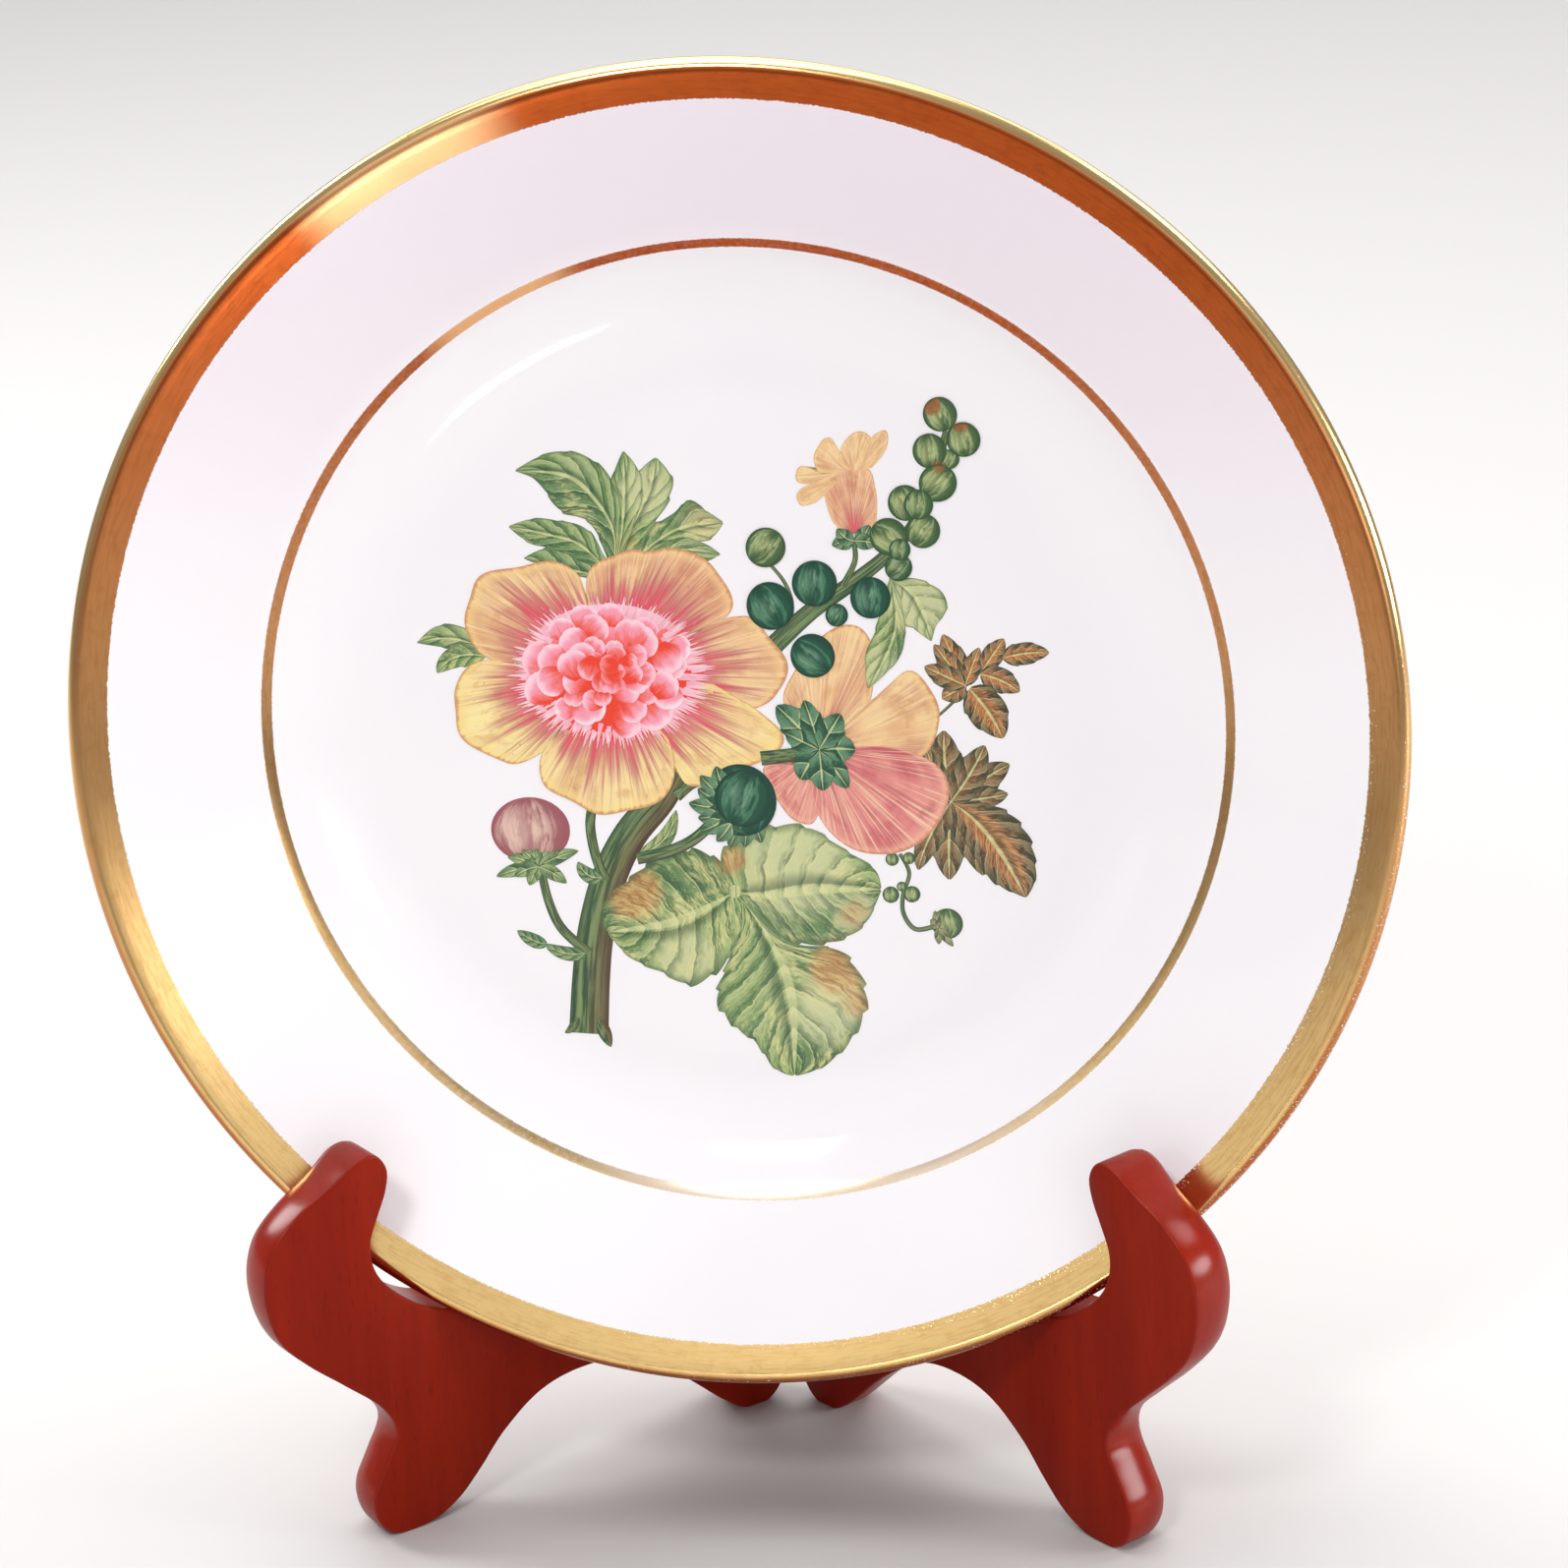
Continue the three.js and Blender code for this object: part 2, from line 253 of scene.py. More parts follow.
FRONT = Vector((0, -math.cos(LEAN), math.sin(LEAN)))
UP = Vector((0, math.sin(LEAN), math.cos(LEAN)))
PLATE_CENTRE = Vector((
    (plate_low[0] + plate_high[0]) / 2,
    plate_low[1] + ((RIM_RADIUS - LIP) * math.sin(LEAN) + LIP * (1 - math.cos(LEAN))) * MM,
    (plate_low[2] + plate_high[2]) / 2 + LIP * math.sin(LEAN) * MM,
))

WELL_CURVE = [
    (WELL_RADIUS - 12, WELL_DEPTH),
    (WELL_RADIUS + 6, WELL_DEPTH),
    (RING_RADIUS - 8, RING_DEPTH + 4.5),
    (RING_RADIUS, RING_DEPTH),
]
MARLY_CURVE = [(RING_RADIUS, RING_DEPTH), (RING_RADIUS + 16, RING_DEPTH - 6.4),
               (RIM_RADIUS - LIP - 0.7, 0.12)]


def wobble(x, y):
    """The slight unevenness of a hand-thrown plate, in millimetres."""
    fade = max(0.0, 1 - math.hypot(x, y) / RIM_RADIUS)
    return 0.1 * fade * noise.noise(Vector((x / 42, y / 42, 3.1)))


def on_plate(x, y, depth):
    return PLATE_CENTRE + Vector((x, 0, 0)) * MM + UP * y * MM - FRONT * depth * MM


def well_depth(radius):
    """How deep the well's surface is at a radius that the painting reaches."""
    if radius <= WELL_CURVE[0][0]:
        return WELL_DEPTH
    low, high = 0.0, 1.0
    for _ in range(24):
        middle = (low + high) / 2
        if bezier(WELL_CURVE, middle)[0] < radius:
            low = middle
        else:
            high = middle
    return bezier(WELL_CURVE, low)[1]


def front_profile():
    flat = [(radius, WELL_DEPTH) for radius in range(0, int(WELL_CURVE[0][0]), 3)]
    return flat + traced(WELL_CURVE, 18) + traced(MARLY_CURVE, 22)


def lip_profile():
    made = []
    for step in range(15):
        turn = math.radians(110 - 180 * step / 14)
        made.append((RIM_RADIUS - LIP + LIP * math.cos(turn), LIP - LIP * math.sin(turn)))
    return made


def back_profile():
    outer, inner = FOOT_RADIUS + 1.3, FOOT_RADIUS - 1.3
    start = lip_profile()[-1]
    underside = [start, (RING_RADIUS + 16, RING_DEPTH - 2), (RING_RADIUS + 1, RING_DEPTH + SHELL)]
    shoulder = [underside[-1], (RING_RADIUS - 8, RING_DEPTH + 8.5), (outer + 1.6, BASE_DEPTH - 0.9)]
    fillet = [shoulder[-1], (outer + 0.3, BASE_DEPTH - 0.6), (outer, FOOT_DEPTH - 0.7)]
    made = traced(underside, 16)[1:] + traced(shoulder, 12) + traced(fillet, 6, with_end=True)
    return made, [(outer - 0.25, FOOT_DEPTH - 0.2), (outer - 0.6, FOOT_DEPTH), (inner + 0.6, FOOT_DEPTH)]


def base_profile():
    inner = FOOT_RADIUS - 1.3
    fillet = [(inner + 0.2, FOOT_DEPTH - 0.25), (inner, BASE_DEPTH + 0.2), (inner - 2.4, BASE_DEPTH)]
    return traced(fillet, 6, with_end=True) + [(radius, BASE_DEPTH) for radius in range(60, -1, -6)]


def plate_mesh():
    """The plate, turned about its axis, with a material slot for each kind of surface."""
    glazed_back, foot = back_profile()
    stretches = [(front_profile() + lip_profile(), 0), (glazed_back, 1), (foot, 2), (base_profile(), 1)]
    rings = [(radius, depth, slot) for stretch, slot in stretches for radius, depth in stretch]
    points, plane, polar, faces, slots = [], [], [], [], []
    for radius, depth, _ in rings:
        for i in range(PLATE_SEGMENTS + 1):
            turn = 2 * math.pi * i / PLATE_SEGMENTS
            x, y = radius * math.cos(turn), radius * math.sin(turn)
            points.append(on_plate(x, y, depth + wobble(x, y)))
            plane.append((x / 100, y / 100))
            polar.append((i / PLATE_SEGMENTS, radius / 100))
    across = PLATE_SEGMENTS + 1
    for ring in range(len(rings) - 1):
        for i in range(PLATE_SEGMENTS):
            a = ring * across + i
            faces.append((a, a + across, a + across + 1, a + 1))
            slots.append(rings[ring][2])
    mesh = mesh_from("plate", points, faces)
    mesh.polygons.foreach_set("material_index", slots)
    set_uv(mesh, "plane", plane)
    set_uv(mesh, "polar", polar)
    tidy_normals(mesh, join_within=0.002 * MM)
    mesh.set_sharp_from_angle(angle=math.radians(50))
    return mesh


# ---- The plate's materials ----
GLAZE = srgb(250, 247, 246)


def add_glaze_surface(shader, plane):
    """Faint pools and pinholes that break up the glaze's reflections."""
    pools = shader.noise(plane, 5, 3)
    grain = shader.noise(plane, 160, 2)
    shader.bump(pools + grain * 0.02, 0.16, 0.35 * MM)


# The direction from the plate's centre of a painted highlight on the gold.
PAINTED_GLINT_DIRECTION = (math.cos(math.radians(118)), math.sin(math.radians(118)))


def gilded_porcelain():
    shader = Shader("gilded_porcelain", IOR=1.52, Specular_IOR_Level=0.5)
    plane, polar = shader.uv("plane"), shader.uv("polar")
    x, y = shader.split(plane)
    turn, radius = shader.split(polar)
    ragged = shader.noise(plane, 190, 2) * 0.006 - 0.003
    worn_side = smooth(x - y, -0.5, 1.7)
    speck = shader.noise(plane, 260, 3, 0.62)
    streak = shader.noise(shader.join(turn * 130, radius * 190), 1, 4, 0.65)

    ragged_radius = radius + ragged
    band = smooth(ragged_radius, BAND_INNER_RADIUS / 100 - 0.001, BAND_INNER_RADIUS / 100 + 0.001)
    near_edge = largest(smooth(radius, 1.14, 1.116), smooth(radius, 1.155, 1.178))
    chipped = near_edge * worn_side * -0.13 + 0.76
    chip = shader.math("GREATER_THAN", speck, chipped)
    band = band * (1.0 - chip)

    line_x, line_y = x - 0.01, y + 0.005
    line_radius = shader.math("SQRT", line_x * line_x + line_y * line_y)
    off_line = abs(line_radius - RING_RADIUS / 100) + ragged * 0.4
    half_width = shader.noise(polar, 3, 1) * 0.003 + 0.0068
    line = smooth(off_line - half_width, 0.0012, -0.0012)
    low_side = smooth(y, -0.35, -0.86)
    faded = low_side * smooth(shader.noise(polar, 9, 2), 0.4, 0.62)
    rubbed = smooth(shader.noise(plane, 120, 3, 0.7), 0.44, 0.6)
    line_wear = largest(faded * 0.5, rubbed * (low_side * 0.25 + 0.06))
    line = line * (1.0 - line_wear)
    gold = largest(band, line)

    # Painted reflection: the gold's colour is painted darker and more orange towards the top of the plate and
    # paler towards the bottom, as if it reflected the room; the streaks and pale patches below follow it.
    height = smooth(y, -0.9, 0.9)
    gold_with_painted_reflection = mix(height, srgb(246, 206, 136), srgb(168, 74, 31))
    deep = mix(height, srgb(216, 168, 96), srgb(140, 58, 24))
    gold_with_painted_reflection = mix(smooth(streak, 0.42, 0.68) * 0.6, gold_with_painted_reflection, deep)
    pale = mix(height, srgb(247, 218, 156), srgb(196, 110, 50))
    gold_with_painted_reflection = mix(shader.noise(plane, 9, 4, 0.65) * 0.35, gold_with_painted_reflection, pale)
    patchy = smooth(shader.noise(plane, 34, 4, 0.7), 0.5, 0.68)
    gold_with_painted_reflection = mix(patchy * 0.3, gold_with_painted_reflection, deep)
    # Painted highlight: the gold is painted paler in a narrow arc at the upper left.
    toward = x * PAINTED_GLINT_DIRECTION[0] + y * PAINTED_GLINT_DIRECTION[1]
    painted_glint = smooth(toward / radius, 0.978, 0.998)
    gold_with_painted_reflection = mix(painted_glint * 0.75, gold_with_painted_reflection, srgb(250, 196, 140))
    # Painted reflection: the lip is painted the other way round, paler at the top and browner at the bottom.
    lip_gold_with_painted_reflection = mix(height, srgb(178, 104, 58), srgb(252, 218, 150))
    gold_with_painted_reflection = mix(smooth(radius, 1.166, 1.175), gold_with_painted_reflection, lip_gold_with_painted_reflection)
    shade = mix(shader.noise(plane, 2.4, 2), srgb(254, 251, 252), srgb(250, 246, 249))
    # Painted shade: the glaze on the upper rim is painted a darker lavender grey.
    painted_upper_rim_shade = smooth(y, -0.1, 1.0) * smooth(radius, 0.8, 0.9)
    shade = mix(painted_upper_rim_shade, shade, srgb(241, 231, 238))
    shader.drive("Base Color", mix(gold, shade, gold_with_painted_reflection))
    shader.drive("Metallic", gold)
    gloss = streak * 0.1 + 0.15
    shader.drive("Roughness", gold * (gloss - 0.07) + 0.07)
    relief = shader.noise(plane, 5, 3) + streak * gold * 0.05 + gold * 0.06
    shader.bump(relief, 0.2, 0.3 * MM)
    return shader.material


def plain_porcelain():
    shader = Shader("plain_porcelain", IOR=1.52)
    plane = shader.uv("plane")
    grey = smooth(shader.noise(plane, 3, 4), 0.3, 0.8)
    colour = mix(grey * 0.6, GLAZE, srgb(240, 237, 232))
    speck = smooth(shader.noise(plane, 140, 2), 0.74, 0.8)
    shader.drive("Base Color", mix(speck, colour, srgb(170, 150, 130)))
    shader.drive("Roughness", shader.noise(plane, 20, 2) * 0.12 + 0.06)
    add_glaze_surface(shader, plane)
    return shader.material


def bare_porcelain():
    shader = Shader("bare_porcelain", IOR=1.45)
    plane = shader.uv("plane")
    grime = smooth(shader.noise(plane, 30, 4, 0.65), 0.4, 0.7)
    shader.drive("Base Color", mix(grime, srgb(232, 224, 212), srgb(186, 170, 150)))
    shader.drive("Roughness", grime * 0.2 + 0.62)
    shader.bump(shader.noise(plane, 300, 3, 0.7), 0.5, 0.1 * MM)
    return shader.material


def make_plate():
    plate = new_object("porcelain_plate", plate_mesh())
    for material in (gilded_porcelain(), plain_porcelain(), bare_porcelain()):
        plate.data.materials.append(material)
    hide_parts("plate")
    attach(plate, "plate")


# ---- The painting ----
# Places are millimetres across and up from the plate's centre. Each shape is a thin sheet of enamel on the
# glaze, and a higher layer lies further out. Its "paint" UV is (across, along), with across from -1 to 1.
ENAMEL = 0.03
LAYER = 0.012
SHEET_STEP = 0.0005
SHEET_LEVELS = 20
UNDER_GLAZE = -0.06
RUST_STAINS = [
    # x, y, radius and strength
    (-21, -32, 6.5, 1.0), (16, -46, 6.5, 1.0), (20, -52, 5, 0.7), (-3, -26, 4, 0.7), (19, -36, 4, 0.5),
    (35, 55.5, 2.4, 0.9), (40, 52, 2.2, 0.7), (36, 44.5, 1.8, 0.7), (-6, 35, 5, 0.3), (-20, 31, 4, 0.3),
]
SUNLIT_SPOTS = [
    (9, -27, 13, 0.9), (14, -54, 9, 0.8), (-12, -44, 8, 0.7), (-16, 41, 7, 0.8), (32, 20, 7, 0.9),
    (24, 9, 6, 0.6), (-6, 34, 6, 0.6), (-29, 45, 5, 0.4), (19, -36, 6, 0.7), (-50, 15, 5, 0.4),
]


class Curve:
    """A curve through points, read by its share of the whole length, from 0 to 1."""

    def __init__(self, points):
        self.points = spline(points, 8)
        self.lengths = [0.0]
        for a, b in zip(self.points, self.points[1:]):
            self.lengths.append(self.lengths[-1] + math.dist(a, b))

    def at(self, share):
        length = min(max(share, 0.0), 1.0) * self.lengths[-1]
        i = min(bisect.bisect_right(self.lengths, length), len(self.lengths) - 1)
        low, high = self.lengths[i - 1], self.lengths[i]
        part = (length - low) / (high - low)
        return tuple(p + (q - p) * part for p, q in zip(self.points[i - 1], self.points[i]))


class Enamel:
    """One colour family's shapes, gathered into one mesh."""

    sheets = 0

    def __init__(self, name, material):
        self.name = name
        self.material = material
        self.points, self.faces, self.uvs = [], [], []
        self.values = {"tone": [], "trait": [], "seed": [], "rust": [], "sun": []}

    def sheet(self, place, along, across, layer, tone=0.0, trait=0.0):
        """Adds a closed sheet. place(s, t), with s from 0 to 1 and t from -1 to 1, gives x, y, u and v."""
        start = len(self.points)
        columns = across + 1
        block = (along + 1) * columns
        grid = [place(i / along, 2 * j / across - 1) for i in range(along + 1) for j in range(columns)]
        seed = random.random()
        Enamel.sheets += 1
        for lift in (ENAMEL + LAYER * layer + SHEET_STEP * (Enamel.sheets % SHEET_LEVELS), UNDER_GLAZE):
            for x, y, u, v in grid:
                self.points.append(on_plate(x, y, well_depth(math.hypot(x, y)) + wobble(x, y) - lift))
                self.uvs.append((u, v))
                self.values["rust"].append(strength_at(x, y, RUST_STAINS))
                self.values["sun"].append(strength_at(x, y, SUNLIT_SPOTS))
            for name, value in (("tone", tone), ("trait", trait), ("seed", seed)):
                self.values[name] += [value] * block
        for i in range(along):
            for j in range(across):
                a = start + i * columns + j
                quad = (a, a + 1, a + columns + 1, a + columns)
                self.faces.append(quad)
                self.faces.append(tuple(corner + block for corner in reversed(quad)))
        rim = list(range(columns))
        rim += [i * columns + across for i in range(1, along + 1)]
        rim += [along * columns + j for j in range(across - 1, -1, -1)]
        rim += [i * columns for i in range(along - 1, 0, -1)]
        for a, b in zip(rim, rim[1:] + rim[:1]):
            self.faces.append((start + b, start + a, start + block + a, start + block + b))

    def finish(self):
        mesh = mesh_from(self.name, self.points, self.faces)
        set_uv(mesh, "paint", self.uvs)
        for name, values in self.values.items():
            set_values(mesh, name, values)
        tidy_normals(mesh)
        mesh.set_sharp_from_angle(angle=math.radians(40))
        mesh.materials.append(self.material)
        piece = new_object(self.name, mesh)
        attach(piece, "plate")


def strength_at(x, y, spots):
    most = 0.0
    for spot_x, spot_y, radius, strength in spots:
        away = math.hypot(x - spot_x, y - spot_y) / radius
        if away < 1:
            most = max(most, strength * (1 - away * away))
    return most


def between(a, b, part):
    return tuple(p + (q - p) * part for p, q in zip(a, b))


def beside(curve, share, away):
    """The place that lies a distance to the left of a curve, at a share of its length."""
    before, after = curve.at(share - 0.02), curve.at(share + 0.02)
    dx, dy = after[0] - before[0], after[1] - before[1]
    part = away / math.hypot(dx, dy)
    x, y = curve.at(share)
    return x - dy * part, y + dx * part


def tooth(share, teeth, depth):
    """How wide a toothed edge is at a share of its length, where 1 is the teeth's tips."""
    return 1 - depth * (1 - (share * teeth) % 1) if teeth else 1


def fan(enamel, base, outline, layer, tone=0.0, trait=0.0, start=0.04, ripple=0.012, across=44):
    """A petal that spreads from a base point to an outline."""
    curve = Curve(outline)
    phase = random.random() * 6.28

    def place(s, t):
        edge = between(base, curve.at((t + 1) / 2), 1 + ripple * math.sin(9 * t + phase) * math.sin(4 * t))
        x, y = between(base, edge, start + (1 - start) * s)
        return x, y, t, start + (1 - start) * s

    enamel.sheet(place, 16, across, layer, tone, trait)


def blade(enamel, rib, left, right, layer, tone=0.3, teeth=0, depth=0.1, veins=6):
    """A leaf from its rib and the outlines of its two sides, each from the base to the tip."""
    rib_curve = Curve(rib)
    sides = [Curve([rib[0], *left, rib[-1]]), Curve([rib[0], *right, rib[-1]])]

    def place(s, t):
        share = 0.01 + 0.98 * s
        edge = sides[0 if t < 0 else 1].at(share)
        x, y = between(rib_curve.at(share), edge, abs(t) * tooth(share, teeth, depth))
        return x, y, t, share

    enamel.sheet(place, max(20, 6 * teeth), 12, layer, tone, veins)


def leaf(enamel, base, bend, tip, width, layer, tone=0.3, teeth=0, depth=0.12, fullness=0.5, veins=4):
    """A simple leaf along a bent line."""
    peak = (fullness / (fullness + 0.75)) ** fullness * (0.75 / (fullness + 0.75)) ** 0.75
    curve = Curve(traced([base, bend, tip], 12, with_end=True))

    def place(s, t):
        share = 0.01 + 0.98 * s
        half = width / 2 * share**fullness * (1 - share) ** 0.75 / peak * tooth(share, teeth, depth)
        return *beside(curve, share, half * t), t, share

    enamel.sheet(place, max(14, 5 * teeth), 8, layer, tone, veins)


def stem(enamel, points, start_width, end_width, layer, tone=0.3):
    curve = Curve(points)

    def place(s, t):
        half = (start_width + (end_width - start_width) * s) / 2
        return *beside(curve, s, half * t), t, s

    enamel.sheet(place, 8 * len(points), 6, layer, tone)


def disc(enamel, x, y, radius, layer, tone=0.0, stretch=1.0, tilt=0.0):
    turn = math.radians(tilt)

    def place(s, t):
        a, b = t, 2 * s - 1
        u, v = a * math.sqrt(1 - b * b / 2), b * math.sqrt(1 - a * a / 2)
        across = radius * (u * math.cos(turn) - v * stretch * math.sin(turn))
        up = radius * (u * math.sin(turn) + v * stretch * math.cos(turn))
        return x + across, y + up, u, v

    enamel.sheet(place, 10, 10, layer, tone)


def cup(enamel, x, y, angle, length, width, layer, tone):
    """A small cupped petal that opens outward along an angle, with a rounded, lightly notched edge."""
    turn = math.radians(angle)
    outward, sideways = (math.cos(turn), math.sin(turn)), (-math.sin(turn), math.cos(turn))
    notch = random.uniform(0.0, 0.12)

    def place(s, t):
        round_off = math.sqrt(max(1 - (0.94 * t) ** 2, 0.0)) - notch * math.exp(-40 * t * t)
        reach = length * ((0.45 + 0.55 * round_off) * s - 0.5)
        spread = width / 2 * t * (0.45 + 0.55 * math.sin(min(s * 1.9, 1.57)))
        px = x + outward[0] * reach + sideways[0] * spread
        return px, y + outward[1] * reach + sideways[1] * spread, t, s

    enamel.sheet(place, 10, 14, layer, tone)


# Paints. In each, "seed" moves the pattern so that no two shapes match.
class Paint(Shader):
    def __init__(self, name):
        super().__init__(name, Roughness=0.24, IOR=1.5)
        self.across, self.along = self.split(self.uv("paint"))
        self.seed = self.attribute("seed") * 37.0
        self.tone = self.attribute("tone")
        self.trait = self.attribute("trait")
        self.side = abs(self.across)

    def streaks(self, fine, long, detail=3.0, shift=1.0, along=None):
        along = self.along if along is None else along
        place = self.join(self.across * fine, along * long, self.seed * shift)
        return self.noise(place, 1, detail, 0.6)

    def finish(self, colour):
        self.drive("Base Color", colour)
        self.bump(self.streaks(14, 3, 2.0, 3.1), 0.2, 0.03 * MM)
        return self.material


def petal_paint():
    """Tone 0 is yellow and 1 is rose. The trait is how far along the petal its flush of crimson reaches."""
    paint = Paint("petal_enamel")
    coarse, fine = paint.streaks(4.5, 0.9), paint.streaks(24, 1.1)
    hair, patch = paint.streaks(64, 1.4, 1.0, 1.7), paint.streaks(1.6, 2.4, 3.0, 2.3)
    dots = paint.streaks(30, 26, 2.0, 0.7)
    ochre = smooth(patch, 0.4, 0.66)
    yellow = mix(ochre, srgb(253, 232, 160), srgb(244, 206, 140))
    rose = mix(ochre, srgb(234, 152, 142), srgb(206, 92, 104))
    colour = mix(paint.tone, yellow, rose)
    tan = mix(paint.tone, srgb(208, 150, 116), srgb(190, 80, 94))
    folds = paint.streaks(2.2, 0.5, 1.0, 4.1)
    shaded = mix(paint.tone, srgb(226, 172, 122), srgb(198, 92, 98))
    colour = mix(smooth(folds, 0.5, 0.68) * 0.55, colour, shaded)
    colour = mix(smooth(coarse, 0.48, 0.72) * 0.62, colour, tan)
    colour = mix(smooth(fine, 0.46, 0.68) * 0.5, colour, tan)
    colour = mix(smooth(hair, 0.5, 0.72) * 0.55, colour, srgb(255, 242, 196))
    colour = mix(smooth(dots, 0.66, 0.76) * 0.5, colour, srgb(164, 96, 66))
    mottle = smooth(paint.streaks(5, 5, 4.0, 3.1), 0.52, 0.66) * smooth(paint.along, 0.45, 0.8)
    colour = mix(mottle * 0.5, colour, mix(paint.tone, srgb(214, 160, 104), srgb(186, 88, 92)))
    ragged = fine * 0.7 + hair * 0.3 + coarse * 0.5 - 0.75
    reach = paint.along - ragged - paint.trait
    colour = mix(smooth(reach, 0.12, -0.1) * 0.72, colour, srgb(190, 96, 108))
    colour = mix(smooth(reach, -0.02, -0.24) * 0.9, colour, srgb(226, 82, 98))
    colour = mix(smooth(hair, 0.58, 0.72) * 0.5, colour, srgb(252, 206, 170))
    edge = largest(paint.side, paint.along) + fine * 0.06 - 0.03
    rim = mix(paint.tone, srgb(252, 226, 140), srgb(246, 190, 160))
    colour = mix(smooth(edge, 0.9, 0.97) * 0.55, colour, rim)
    colour = mix(smooth(edge, 0.97, 0.995) * 0.75, colour, srgb(202, 132, 92))
    return paint.finish(colour)


def ruff_paint():
    """The small petals of the bloom's heart. Tone 0 is pink, and 1 is coral red."""
    paint = Paint("ruff_enamel")
    fine, soft = paint.streaks(6, 1.6), paint.streaks(1.4, 1.4, 2.0, 2.1)
    side = paint.side ** 3.0
    level = paint.along + fine * 0.5 + soft * 0.9 - 0.7 - side * 0.16 - paint.tone * 0.5
    colour = mix(smooth(level, -0.1, 0.3), srgb(240, 66, 40), srgb(246, 116, 112))
    colour = mix(smooth(level, 0.22, 0.6), colour, srgb(251, 158, 178))
    rim = smooth(paint.along + soft * 0.5 - 0.25, 0.66, 0.96)
    colour = mix(rim * (paint.tone * -0.7 + 0.9), colour, srgb(255, 226, 234))
    brink = smooth(paint.side, 0.84, 0.98) * smooth(paint.along, 1.0, 0.6)
    brink = largest(brink, smooth(paint.along, 0.975, 1.0))
    colour = mix(brink * 0.6, colour, srgb(238, 104, 112))
    return paint.finish(colour)


def fringe_paint():
    """Fine strokes round the heart. Tone 0 is pinkish white and 1 is crimson."""
    paint = Paint("fringe_enamel")
    pale = mix(paint.along, srgb(252, 190, 208), srgb(255, 232, 236))
    return paint.finish(mix(paint.tone, pale, srgb(222, 84, 112)))


def leaf_paint():
    """Tone -1 is dark teal, 0 green and 1 brown. The trait is the number of veins on each side."""
    paint = Paint("leaf_enamel")
    slanted = paint.along - paint.side * 0.24 + paint.streaks(3, 3) * 0.08
    cell = paint.math("FRACT", slanted * paint.trait)
    brush = paint.streaks(4, 44, 4.0, 1.0, slanted)
    patch, broad = paint.streaks(1.6, 3.0, 3.0, 1.9), paint.streaks(0.9, 1.4, 2.0, 0.6)
    half = smooth(paint.across + broad * 2.4 - 1.2, -0.5, 0.5)
    green = mix(half, srgb(74, 110, 70), srgb(112, 144, 86))
    sunlit = mix(half, srgb(122, 154, 98), srgb(196, 208, 142))
    pillow = smooth(cell + brush * 1.6 - 0.8, 0.8, 0.2)
    dabs = paint.streaks(9, 90, 3.0, 4.4, slanted)
    colour = mix(pillow * 0.68, green, sunlit)
    colour = mix(smooth(dabs, 0.5, 0.66) * 0.5, colour, srgb(84, 120, 72))
    colour = mix(smooth(dabs, 0.46, 0.34) * 0.45, colour, srgb(196, 208, 144))
    sun = paint.attribute("sun") + brush * 1.4 - 0.7
    colour = mix(smooth(sun, 0.1, 0.75) * 0.8, colour, srgb(214, 216, 164))
    sunny = smooth(patch, 0.5, 0.64) * smooth(brush, 0.62, 0.4)
    colour = mix(sunny * 0.75, colour, srgb(224, 218, 150))
    dark = smooth(cell, 0.5, 0.94) * smooth(brush, 0.38, 0.56)
    colour = mix(dark * 0.6, colour, srgb(52, 88, 58))
    rusty = smooth(paint.attribute("rust") + brush * 0.9 - 0.45, 0.1, 0.7)
    ochre = mix(smooth(brush, 0.4, 0.62), srgb(220, 174, 110), srgb(184, 116, 62))
    colour = mix(rusty * 0.72, colour, ochre)
    teal = mix(pillow, srgb(34, 80, 58), srgb(100, 142, 108))
    colour = mix(largest(paint.tone * -1.0, 0.0), colour, teal)
    near_rib = smooth(paint.side + brush * 1.2 - 0.6, 0.75, 0.2)
    orange = mix(smooth(brush, 0.4, 0.6), srgb(214, 148, 92), srgb(164, 96, 50))
    brown = mix(pillow, srgb(66, 62, 42), srgb(140, 124, 92))
    brown = mix(near_rib * smooth(paint.tone, 0.35, 0.9), brown, orange)
    colour = mix(smooth(paint.tone, 0.1, 0.45), colour, brown)
    frayed = paint.side + brush * 0.16 - 0.08
    edge = largest(smooth(frayed, 0.84, 0.99), smooth(paint.along, 0.95, 1.0))
    colour = mix(edge * 0.6, colour, mix(paint.tone, srgb(62, 92, 54), srgb(60, 58, 38)))
    vein = smooth(cell, 0.09, 0.03) * smooth(paint.side, 0.95, 0.5)
    rib = smooth(paint.side, 0.085, 0.045)
    line = largest(rib, vein * 0.7) * 0.8
    colour = mix(line, colour, mix(pillow, srgb(196, 204, 142), srgb(220, 220, 160)))
    shadow = smooth(paint.across, 0.09, 0.12) * smooth(paint.across, 0.36, 0.14)
    colour = mix(shadow * 0.6, colour, srgb(50, 82, 52))
    return paint.finish(colour)


def stem_paint():
    """Tone is how brown the stem is along its right side."""
    paint = Paint("stem_enamel")
    lines = paint.streaks(4, 4)
    colour = mix(smooth(lines, 0.38, 0.62), srgb(52, 82, 56), srgb(128, 150, 98))
    brown = paint.tone * smooth(paint.across, -0.5, 0.7)
    colour = mix(brown * 0.85, colour, mix(lines, srgb(86, 62, 44), srgb(128, 92, 66)))
    edge = smooth(paint.side, 0.5, 0.98)
    colour = mix(edge * 0.8, colour, mix(brown, srgb(38, 70, 48), srgb(84, 42, 32)))
    return paint.finish(colour)


